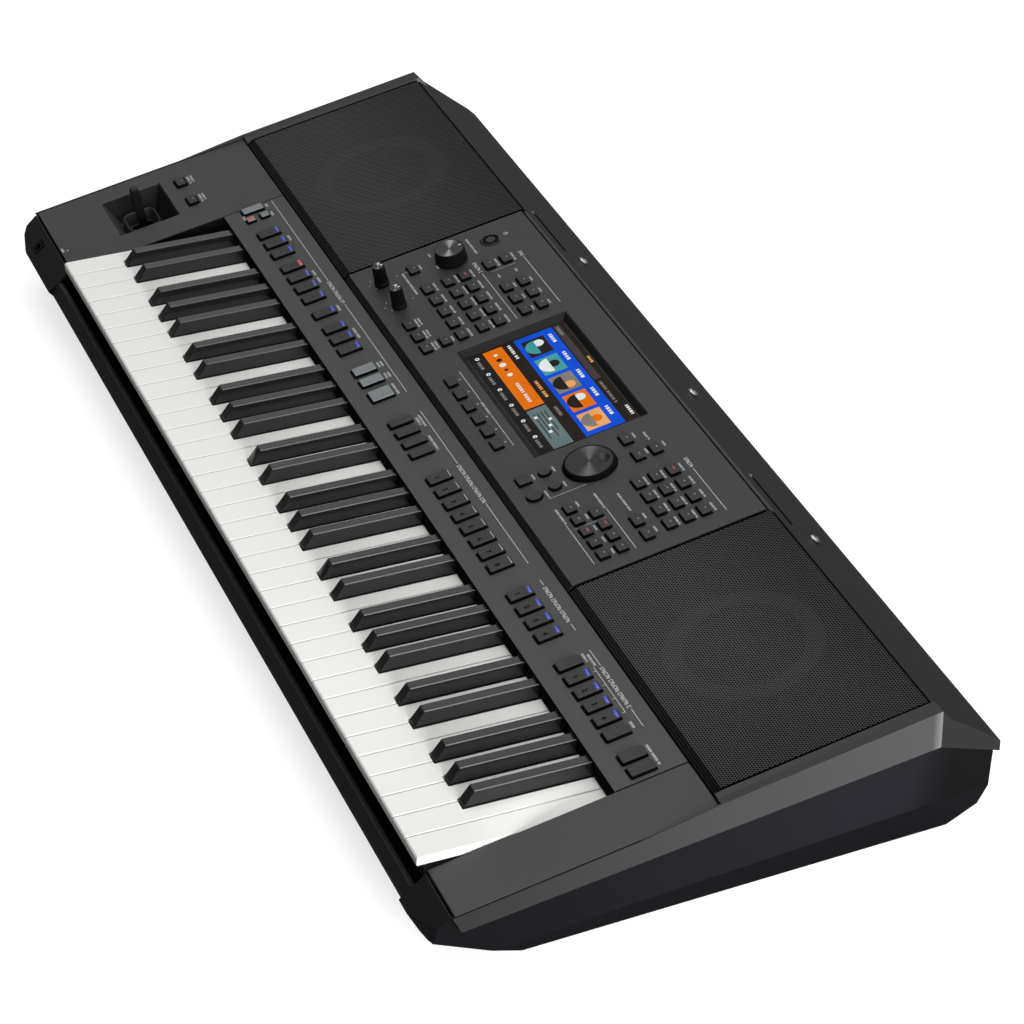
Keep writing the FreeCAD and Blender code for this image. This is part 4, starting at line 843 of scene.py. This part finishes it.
def panel_print(part):
    """Headings, rules and labels of the centre panel."""
    face = PANEL_FACE

    def labels(half, tall, places):
        for x, v in places:
            mark_row(part, x - half, x + half, v, tall, face)
    for x0, x1, v in ((-172.7, -95.7, 300.8), (-175.0, -97.0, 339.2), (164.3, 224.0, 338.3),
                      (170.8, 226.5, 263.4), (171.9, 226.0, 229.8), (-56.6, -10.0, 234.1),
                      (12.3, 58.5, 234.1), (128.0, 135.6, 232.4)):
        rule(part, x0, x1, v, face)
    for x0, x1, v in ((-191.4, -174.5, 300.6), (-184.5, -176.5, 339.1), (149.5, 162.0, 338.4)):
        mark_row(part, x0, x1, v, 2.8, face)
    for x0, x1, v in ((149.2, 169.5, 262.8), (150.5, 171.0, 230.4), (-8.5, 10.5, 233.8),
                      (159.4, 185.0, 277.8), (101.2, 113.0, 325.0), (-213.0, -178.0, 244.7),
                      (-228.0, -202.4, 308.2)):
        mark_row(part, x0, x1, v, 1.7, face)
    labels(6.4, 1.6, [(-178.5 + 19.2 * i, v) for v in (261.4, 280.4, 294.2) for i in range(5)])
    labels(5.6, 1.6, [(157.9 + 19.0 * i, v) for v in (302.2, 316.4, 331.6) for i in range(4)])
    labels(3.5, 1.6, [(-141.5 + 19.4 * i, v) for v in (317.5, 332.0) for i in range(3)])
    labels(6.0, 1.6, [(-181.0, 317.5), (-181.0, 332.0)] + [(x, 229.6) for x in (-139.7, -120.5, -101.3)])
    labels(5.5, 1.6, [(x, 232.4) for x in (-140.2, -121.0, -101.8)])
    labels(4.0, 1.5, ((104.6, 231.6), (128.6, 232.4), (104.2, 248.6), (126.2, 248.8), (101.4, 317.1),
                      (125.0, 317.5), (124.1, 332.3), (-101.5, 246.3), (-212.5, 260.8), (195.9, 284.0),
                      (214.8, 284.6), (154.2, 247.2), (220.3, 247.4), (188.0, 247.3), (204.0, 247.3),
                      (172.0, 247.3)))
    labels(2.6, 1.6, ((-224.4, 273.5), (-204.2, 273.0), (-160.9, 311.4), (-160.9, 326.5)))
    for i in range(6):
        x = -46.5 + 19.4 * i
        bar(part, x - 0.5, x + 0.5, 229.6, 231.2, face, GREY_INK)
    for x in (-212.7, -175.3):
        for dx, v in ((-6.4, 218.3), (0.0, 215.0), (6.3, 218.7), (0.0, 239.7)):
            dot(part, x + dx, v, 0.5, face, GREY_INK)
    for degrees in range(0, 360, 20):
        a = math.radians(degrees)
        dot(part, -216.0 + 1.5 * math.cos(a), 339.5 + 1.5 * math.sin(a), 0.34, face)
    for x, v0, v1 in ((135.6, 232.4, 262.4), (180.5, 233.3, 259.1), (-170.7, 308.2, 330.0),
                      (-213.2, 244.7, 251.1)):
        bar(part, x - 0.2, x + 0.2, v0, v1, face, GREY_INK)


PANEL_NODES = ("select_buttons", "song_buttons", "voice_buttons", "part_buttons")
POWER_RIM = 1.9


def panel_gaps(part):
    """Slots round the caps of the panel, and the groove round the power button, in painted shade."""
    cap_gaps(part, PANEL_NODES, PANEL_FACE, 0.4)
    for sides in caps_of("screen_buttons") + caps_of("power_button"):
        radius = CAP_CORNER if is_square(sides) else (sides[1] - sides[0]) / 2 + CAP_GAP
        cap_gap(part, sides, radius, PANEL_FACE)
    for x0, x1, v0, v1, *_ in caps_of("power_button"):
        ring = (x0 - POWER_RIM, x1 + POWER_RIM, v0 - POWER_RIM, v1 + POWER_RIM)
        cap_gap(part, ring, (x1 - x0) / 2 + POWER_RIM + CAP_GAP, PANEL_FACE)


print_on("panel_print", panel_print)
print_on("panel_gaps", panel_gaps)


# Knobs and dial: hard black knobs on splined shafts with turned metal tops, and a wide data dial
# of dark spun metal with a finger dimple, sunk in a shallow ring in the panel.

def set_on(name, shape, materials, node):
    """Makes a turned piece in its own frame on the panel, in the place of a node."""
    piece = piece_of(name, shape, materials, node, [node])
    x, v = middle_of(flat_box([p.co * 1000 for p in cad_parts[node].data.vertices]))
    piece.matrix_world = Matrix.Translation(lay(x, v, PANEL_FACE)) @ Matrix.Rotation(SLOPE, 4, "X")
    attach(piece, node)


def turned(part, profile, sides, finish, flute=0.0, lid=False):
    loft(part, [circle(r, h, sides, flute=flute) for r, h in profile], finish, lid)


POINTER_WIDTH = 0.7


def knob(part, sides, flute, foot, grip, shoulder, top, pointer):
    """Knob with a plain foot, a fluted grip, a rolled shoulder, a sunk top and a pale pointer in it."""
    turned(part, foot, sides, 0)
    turned(part, grip, sides, 0, flute)
    turned(part, shoulder, sides, 0)
    turned(part, top, sides, 1, lid=True)
    y, length, low, high = pointer
    rings = []
    for inset, h in ((0.0, low), (0.0, high - 0.1), (0.1, high)):
        a, b = POINTER_WIDTH / 2 - inset, length / 2 - inset
        rings.append([Vector((i * a, y + j * b, h)) / 1000 for i, j in ((-1, -1), (1, -1), (1, 1), (-1, 1))])
    loft(part, rings, 2)


def volume_knob(part):
    knob(part, 96, 0.25, ((13.0, 0.6), (13.6, 1.2), (13.5, 3.0)), ((13.5, 3.0), (12.6, 11.2)),
         ((12.6, 11.2), (12.5, 11.9), (12.2, 12.3), (11.8, 12.3)),
         ((11.8, 12.3), (11.6, 12.1), (6.0, 11.9), (0.6, 11.8)), (9.4, 2.6, 11.9, 12.25))


def live_knob(part):
    knob(part, 64, 0.3, ((6.3, 0.6), (6.4, 1.4), (6.3, 3.2), (5.9, 3.6)), ((5.9, 3.6), (5.3, 17.6)),
         ((5.3, 17.6), (5.2, 18.5), (4.8, 19.0)),
         ((4.8, 19.0), (4.4, 18.7), (1.4, 18.3), (0.3, 18.3)), (3.0, 2.4, 18.4, 18.95))


DIMPLE = (2.6, 10.2, 6.0, 2.2)
DIAL_TOP = 18.4
DIAL_SIDES, DIAL_RINGS = 128, 40


def dial(part):
    """Dial whose top is a fine polar net, so the dimple can be pressed into it."""
    turned(part, ((20.6, -0.6), (21.0, 0.0), (20.6, 2.6), (20.0, 3.6)), DIAL_SIDES, 0)
    turned(part, ((20.0, 3.6), (19.5, 4.0), (DIAL_TOP, 4.0)), DIAL_SIDES, 0)
    x, y, radius, deep = DIMPLE
    rings = []
    for i in range(DIAL_RINGS):
        share = i / (DIAL_RINGS - 1)
        ring = circle(DIAL_TOP - (DIAL_TOP - 0.2) * share, 4.0 - 0.1 * share, DIAL_SIDES)
        for p in ring:
            away = math.hypot(p.x * 1000 - x, p.y * 1000 - y) / radius
            if away < 1:
                p.z -= deep * (1 - away ** 2) ** 1.2 / 1000
        rings.append(ring)
    loft(part, rings, 1)


# Turn and sharpness of the painted sheen.
SHEEN_TURN, SHEEN_POWER = 0.9, 9.0


def spun_top(name, dark, light):
    """Spun metal top: fine rings, and two bright wedges painted into its colour as a painted sheen across
    the axis.
    """
    place = begin(name)
    x, y = place.axis("X"), place.axis("Y")
    angle = place.maths("ARCTAN2", y, x)
    # Painted sheen: the two wedges are painted into the colour.
    painted_sheen = place.maths("COSINE", angle * 2.0 + SHEEN_TURN) * 0.5 + 0.5
    away = place.maths("SQRT", x * x + y * y)
    rings = away.maths("SINE", away * 9000.0)
    tone = place.maths("POWER", painted_sheen, SHEEN_POWER).blend(dark, light)
    return place.surface({"Base Color": tone, "Metallic": 0.6, "Roughness": rings * 0.04 + 0.34,
                          "Normal": rings.bump(0.12, 0.0001)})


SPUN_DARK = spun_top("dial_spun", (0.013, 0.013, 0.014), (0.1, 0.1, 0.103))
KNOB_FINISHES = [moulded("knob_side", (0.003, 0.003, 0.0032), 0.5, 0.1, shine=0.15),
                 spun_top("knob_top", (0.022, 0.022, 0.023), (0.3, 0.3, 0.3)),
                 pale_ink("pointer_white", (0.7, 0.7, 0.7))]
set_on("volume_dial", volume_knob, KNOB_FINISHES, "volume_knob")
set_on("live_dial_left", live_knob, KNOB_FINISHES, "live_knob_left")
set_on("live_dial_right", live_knob, KNOB_FINISHES, "live_knob_right")
# The dial's side takes the near-black finish of the slots, painted shade round the dial.
set_on("data_wheel", dial, [INK[SEAM_SHADE], SPUN_DARK], "data_dial")


# Screen: a colour display behind a flat touch glass in a sloping frame, set into the panel from
# behind. It shows a plain page of tiles: discs, sliders, small pictures and a row of round marks.

soften("screen_bezel", moulded("bezel_dark", (0.005, 0.005, 0.005), 0.5, 0.08, shine=0.2), 0.2)
soften("display_module", moulded("display_can", (0.03, 0.03, 0.032), 0.5, 0.1), 0.3)


def touch_glass():
    place = begin("touch_glass")
    smear = place.noise(25.0, 4.0)
    tone = smear.blend((0.008, 0.007, 0.006), (0.016, 0.013, 0.011))
    return place.surface({"Base Color": tone, "Roughness": smear * 0.06 + 0.06, "Coat Weight": smear * 0.4})


soften("touch_panel", touch_glass(), 0.2)
SCREEN_MIDDLE = 289.9
SCREEN_HALF = (77.0, 42.6)
SCREEN_FACE, LAYER, ROW_LAYER = -1.5, 0.03, 3
PAGE_RATIO = 1.81
DISC_SIDES = 24


def tile_light(name, low, high):
    """Lit tile of the page: a soft gradient, under the glass's polish."""
    place = begin(name)
    shade = place.noise(40.0, 1.0)
    return place.surface({"Base Color": (0.0, 0.0, 0.0, 1.0), "Roughness": shade * 0.05 + 0.3,
                          "Emission Color": shade.blend(low, high), "Emission Strength": 1.0,
                          "Specular IOR Level": 0.03})


TILES = [tile_light(f"tile_{name}", low, high) for name, low, high in (
    ("night", (0.012, 0.008, 0.006), (0.022, 0.015, 0.011)),
    ("orange", (0.7, 0.14, 0.0), (0.78, 0.17, 0.0)),
    ("slate", (0.1, 0.15, 0.16), (0.14, 0.19, 0.2)),
    ("blue", (0.0, 0.05, 0.52), (0.004, 0.09, 0.72)),
    ("white", (0.62, 0.66, 0.68), (0.85, 0.86, 0.86)),
    ("grey", (0.16, 0.14, 0.13), (0.26, 0.24, 0.22)),
    ("teal", (0.02, 0.2, 0.24), (0.08, 0.4, 0.42)),
    ("amber", (0.7, 0.26, 0.06), (0.9, 0.5, 0.2)),
    ("dusk", (0.045, 0.034, 0.036), (0.06, 0.046, 0.048)),
    ("ink", (0.008, 0.008, 0.009), (0.014, 0.014, 0.015)))]
NIGHT, ORANGE, SLATE, SEA, WHITE, SOOT, TEAL, AMBER, DUSK, INKWELL = range(10)


def on_page(part, points, finish, layer):
    """One flat form on the page, from points in millimetres from the page's middle."""
    places = [lay(x, SCREEN_MIDDLE + v, SCREEN_FACE + LAYER * layer) for x, v in points]
    part.faces.new([part.verts.new(p) for p in places]).material_index = finish


def tile(part, x0, x1, v0, v1, finish, layer):
    """Tile by shares of the page's width and length."""
    a, b = SCREEN_HALF
    corners = ((x0, v0), (x1, v0), (x1, v1), (x0, v1))
    on_page(part, [((2 * x - 1) * a, (2 * v - 1) * b) for x, v in corners], finish, layer)


def page_row(part, x0, x1, v, tall, finish):
    """Row of little bars on the page."""
    x, step = x0, 0
    while x < x1:
        wide = tall * (0.32, 0.5, 0.4, 0.6)[step % 4]
        tile(part, x, x + wide, v - tall / 2, v + tall / 2, finish, ROW_LAYER)
        x += wide + tall * (0.5 if step % 5 == 4 else 0.2)
        step += 1


def disc(part, x, v, radius, finish, layer, share=1.0):
    """Round motif, or the front share of one; its radius is a share of the page's width."""
    a, b = SCREEN_HALF
    r = 2 * a * radius
    count = DISC_SIDES if share == 1.0 else DISC_SIDES + 1
    turn = [math.pi * (2 * share * i / DISC_SIDES - 0.5 - share) for i in range(count)]
    points = [((2 * x - 1) * a + r * math.cos(t), (2 * v - 1) * b + r * math.sin(t)) for t in turn]
    on_page(part, points, finish, layer)


def picture(part, i, ground, whole, half):
    """Small picture of a disc over a half disc on a plain ground."""
    x = 0.05 + 0.186 * i
    tile(part, x, x + 0.156, 0.52, 0.75, ground, 3)
    disc(part, x + 0.05 + 0.028 * (i % 3), 0.665, 0.03, whole, 4)
    disc(part, x + 0.078, 0.52 + 0.062 * PAGE_RATIO, 0.062, half, 5, 0.5)
    page_row(part, x + 0.012, x + 0.1, 0.81, 0.034, WHITE)


PICTURES = ((NIGHT, WHITE, TEAL), (TEAL, NIGHT, WHITE), (SOOT, AMBER, NIGHT), (ORANGE, WHITE, NIGHT),
            (AMBER, ORANGE, SOOT))


def screen_page(part):
    tile(part, 0.0, 1.0, 0.0, 1.0, NIGHT, 1)
    tile(part, 0.015, 0.6, 0.155, 0.35, ORANGE, 2)
    for i in range(5):
        disc(part, 0.07 + 0.05 * i, 0.25, 0.011 + 0.004 * (i % 3), NIGHT if i % 2 else WHITE, 3)
    tile(part, 0.615, 0.985, 0.155, 0.35, SLATE, 2)
    for i in range(4):
        v = 0.036 * i
        x = 0.68 + 0.05 * ((i * 3) % 4)
        tile(part, 0.66, 0.9 - 0.05 * (i % 2), 0.19 + v, 0.2 + v, NIGHT, 3)
        tile(part, x, x + 0.022, 0.18 + v, 0.21 + v, WHITE, 4)
    tile(part, 0.01, 0.99, 0.475, 0.865, SEA, 2)
    for i, colours in enumerate(PICTURES):
        picture(part, i, *colours)
    tile(part, 0.01, 0.57, 0.88, 0.945, DUSK, 2)
    for x0, x1, v, tall, finish in ((0.36, 0.54, 0.25, 0.032, WHITE), (0.03, 0.16, 0.41, 0.03, WHITE),
                                    (0.4, 0.56, 0.41, 0.03, AMBER), (0.66, 0.76, 0.41, 0.03, SOOT),
                                    (0.03, 0.12, 0.912, 0.028, SOOT), (0.6, 0.8, 0.912, 0.028, SOOT),
                                    (0.36, 0.42, 0.975, 0.026, AMBER), (0.86, 0.96, 0.97, 0.03, WHITE)):
        page_row(part, x0, x1, v, tall, finish)
    tile(part, 0.0, 1.0, 0.0, 0.135, INKWELL, 2)
    for i in range(6):
        x = 0.045 + 0.158 * i
        disc(part, x, 0.08, 0.012, WHITE, 3)
        disc(part, x + 0.002 * (i % 3), 0.08, 0.005, INKWELL, 4)
        page_row(part, x + 0.028, x + 0.1, 0.07, 0.03, SOOT)


piece_of("screen_page", screen_page, TILES, "case", smooth=0)


# Speaker grilles: black painted steel, punched with fine staggered holes and rolled down at the
# front, pressed into the upper case's windows over the loudspeakers.

HOLE_PITCH, HOLE_ROW = 2.24, 1.95
GRILLE_IN, GRILLE_OUT, GRILLE_REAR = 0.2424, 0.4924, 0.1806


def to_hole(x, up, row):
    """Distance in millimetres to the nearest hole of every second row."""
    across = x.maths("WRAP", x * 1000.0 + row * HOLE_PITCH / 2, HOLE_PITCH / 2, -HOLE_PITCH / 2)
    along = x.maths("WRAP", up * 1000.0 + row * HOLE_ROW, HOLE_ROW, -HOLE_ROW)
    return x.maths("SQRT", across * across + along * along)


def punched_steel(name, middle):
    """Painted steel sheet with staggered holes, dark with painted shade inside; the loudspeaker's ring shows
    faintly behind them.
    """
    place = begin(name)
    x = place.axis("X")
    up = place.axis("Y") * math.cos(SLOPE) + place.axis("Z") * math.sin(SLOPE)
    hole = place.maths("MINIMUM", to_hole(x, up, 0), to_hole(x, up, 1)).ramp(0.66, 0.9, 1.0, 0.0)
    away = place.add("ShaderNodeVectorMath", {"operation": "DISTANCE"}, {0: place, 1: middle}, "Value")
    # The dark inside behind the holes is painted shade, with the loudspeaker's ring faintly lighter.
    ring = (away > 0.044) * (away < 0.058)
    behind = ring.blend((0.0006, 0.0006, 0.0006), (0.009, 0.009, 0.009))
    paint = place.noise(300.0)
    sheet = paint.blend((0.034, 0.034, 0.034), (0.042, 0.042, 0.042))
    # Painted shade: the sheet darkens toward its rear and toward its outer end.
    sheet = up.ramp(0.09, 0.17).most(x.ramp(0.36, 0.5)).blend(sheet, (0.016, 0.016, 0.016))
    skin = place.skin({"Base Color": sheet, "Roughness": paint * 0.2 + 0.4,
                       "Normal": (1 - hole).bump(0.4, 0.0006), "Specular IOR Level": 0.3})
    gap = place.skin({"Base Color": behind, "Roughness": 0.9, "Specular IOR Level": 0.0})
    # Painted shade: the rolled front edge, mostly, and the borders by the rims take the dark shader of the
    # holes.
    side, rolled = abs(x), place.facing().axis("Y") < -0.4
    edge = ((side > GRILLE_OUT) + (side < GRILLE_IN)).most(up > GRILLE_REAR)
    open_share = hole.most(edge).most(rolled * 0.7)
    return place.close(place.add("ShaderNodeMixShader", {}, {0: open_share, 1: skin, 2: gap}))


def rim_ends(part):
    """Front ends of the side rims, closed beside the grilles' rolled edges."""
    for x0, x1 in ((-501.7, -494.9), (494.9, 501.7)):
        slab(part, x0, x1, 201.9, 207.0, -1.5, 3.2, 0)


piece_of("rim_ends", rim_ends, [CHARCOAL], "case")
for node in ("left_grille", "right_grille"):
    low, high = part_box(node)
    soften(node, punched_steel(f"{node}_steel", (low + high) / 2), 0.5)


# Studs and sockets: three chromed studs on the rear slope for a score rest, and at the back and
# the left front the moulded sockets, soldered to their boards and flush with the case.

def polished_chrome():
    place = begin("stud_chrome")
    haze = place.noise(200.0, 3.0)
    tone = haze.blend((0.3, 0.3, 0.3), (0.4, 0.4, 0.4))
    return place.surface({"Base Color": tone, "Metallic": 1.0, "Roughness": haze * 0.12 + 0.16})


STUD_PLACES = [Vector((x, 185.5, 116.8)) / 1000 for x in (-175.0, 45.0, 262.0)]
STUD_AXIS = Vector((0.0, 0.623, 0.783))
STUD_PROFILE = ((4.6, 0.0), (4.7, 0.7), (4.4, 1.7), (3.6, 2.5), (2.4, 2.9), (1.6, 2.7), (0.4, 2.3))


def stud_caps(part):
    """Domed stud heads with a dimple in the crown, set square to the rear slope."""
    upright = STUD_AXIS.to_track_quat("Z", "X").to_matrix()
    for place in STUD_PLACES:
        loft(part, [[place + upright @ p for p in circle(r, h, 40)] for r, h in STUD_PROFILE])


piece_of("stud_caps", stud_caps, [polished_chrome()], "case", ["rest_studs"])
SOCKET = moulded("socket_black", (0.01, 0.01, 0.01), 0.45, 0.1)
soften("jack_sockets", SOCKET, 0.3)
soften("power_inlet", SOCKET, 0.3)
soften("headphone_jack", moulded("jack_black", (0.003, 0.003, 0.003), 0.5, 0.1, shine=0.1), 0.3)
soften("usb_sockets", STEEL, 0.2)
REAR_Y = 212.05
REAR_MARKS = (1.3, 1.7, 1.0, 1.6, 1.2)


def rear_print(part):
    """Short rows of marks over the sockets, on the flat rear wall."""
    for node in ("jack_sockets", "usb_sockets", "power_inlet"):
        for sides in caps_of(node):
            for i, wide in enumerate(REAR_MARKS):
                x = middle_of(sides)[0] - 5.0 + 2.1 * i
                corners = ((x, 64.0), (x + wide, 64.0), (x + wide, 65.8), (x, 65.8))
                verts = [part.verts.new(Vector((a, REAR_Y, z)) / 1000) for a, z in corners]
                part.faces.new(verts).material_index = GREY_INK


piece_of("rear_print", rear_print, INK, "case", smooth=0)


# Stage: a wide pale floor under a plain white background, soft light from above and from the
# right, a small lamp for the edges, and the camera.

FLOOR_HALF, FLOOR_DROP = 14.0, 0.0002


def stage_floor():
    part = bmesh.new()
    corners = ((-1, -1), (1, -1), (1, 1), (-1, 1))
    part.faces.new([part.verts.new((x * FLOOR_HALF, y * FLOOR_HALF, -FLOOR_DROP)) for x, y in corners])
    mesh = bpy.data.meshes.new("floor")
    part.to_mesh(mesh)
    part.free()
    floor = bpy.data.objects.new("floor", mesh)
    bpy.context.scene.collection.objects.link(floor)
    return floor


def ray(wire, kind):
    return wire.add("ShaderNodeLightPath", {}, {}, f"Is {kind} Ray")


def floor_paint():
    place = begin("floor_paint")
    seen = ray(place, "Camera")
    tone = seen.blend((0.16, 0.16, 0.17), (0.5, 0.5, 0.5))
    paint = place.add("ShaderNodeBsdfDiffuse", {}, {"Color": tone})
    lift = place.add("ShaderNodeEmission", {}, {"Color": (1.0, 1.0, 1.0, 1.0), "Strength": seen * 0.72})
    return place.close(place.add("ShaderNodeAddShader", {}, {0: paint, 1: lift}))


floor = stage_floor()
floor.data.materials.append(floor_paint())

world = bpy.data.worlds.new("studio")
bpy.context.scene.world = world
world.use_nodes = True
world.node_tree.nodes.clear()
sky = Wire(world)
toward = sky.add("ShaderNodeTexCoord", {}, {}, "Generated")
ahead, low = toward.axis("Y").ramp(-0.7, 0.1, 0.12, 1.0), toward.axis("Z").ramp(0.05, 0.4, 0.3, 1.0)
level = ahead * low * (ray(sky, "Glossy") * 0.55 + 0.4)
strength = level.most(ray(sky, "Camera") + ray(sky, "Transmission"))
white = sky.add("ShaderNodeBackground", {}, {"Color": (1.0, 1.0, 1.0, 1.0), "Strength": strength})
sky.add("ShaderNodeOutputWorld", {}, {"Surface": white}, None)


def softbox(name, place, target, size, power):
    lamp = bpy.data.lights.new(name, "AREA")
    lamp.shape = "RECTANGLE"
    lamp.size, lamp.size_y = size
    lamp.energy = power
    holder = bpy.data.objects.new(name, lamp)
    bpy.context.scene.collection.objects.link(holder)
    holder.location = place
    holder.rotation_euler = (Vector(target) - Vector(place)).to_track_quat("-Z", "Y").to_euler()
    return holder


softbox("top_box", (-0.1, -0.3, 2.2), (0.0, 0.0, 0.1), (2.4, 1.6), 27.0)
right_box = softbox("right_box", (2.8, 0.3, 0.75), (0.4, 0.0, 0.08), (1.6, 1.0), 112.0)
right_box.visible_glossy = False
edge_box = softbox("edge_box", (1.76, 0.96, 2.5), (0.0, 0.0, 0.1), (0.9, 0.9), 13.0)
edge_box.visible_diffuse = False

camera = bpy.data.objects.new("camera", bpy.data.cameras.new("camera"))
bpy.context.scene.collection.objects.link(camera)
camera.location = (2.15287, -0.82872, 1.59087)
camera.rotation_euler = [math.radians(a) for a in (55.78647, -0.34324, 67.99213)]
camera.data.lens = 123.677
camera.data.sensor_width = 36.0
bpy.context.scene.camera = camera
bpy.context.scene.view_settings.view_transform = "Standard"
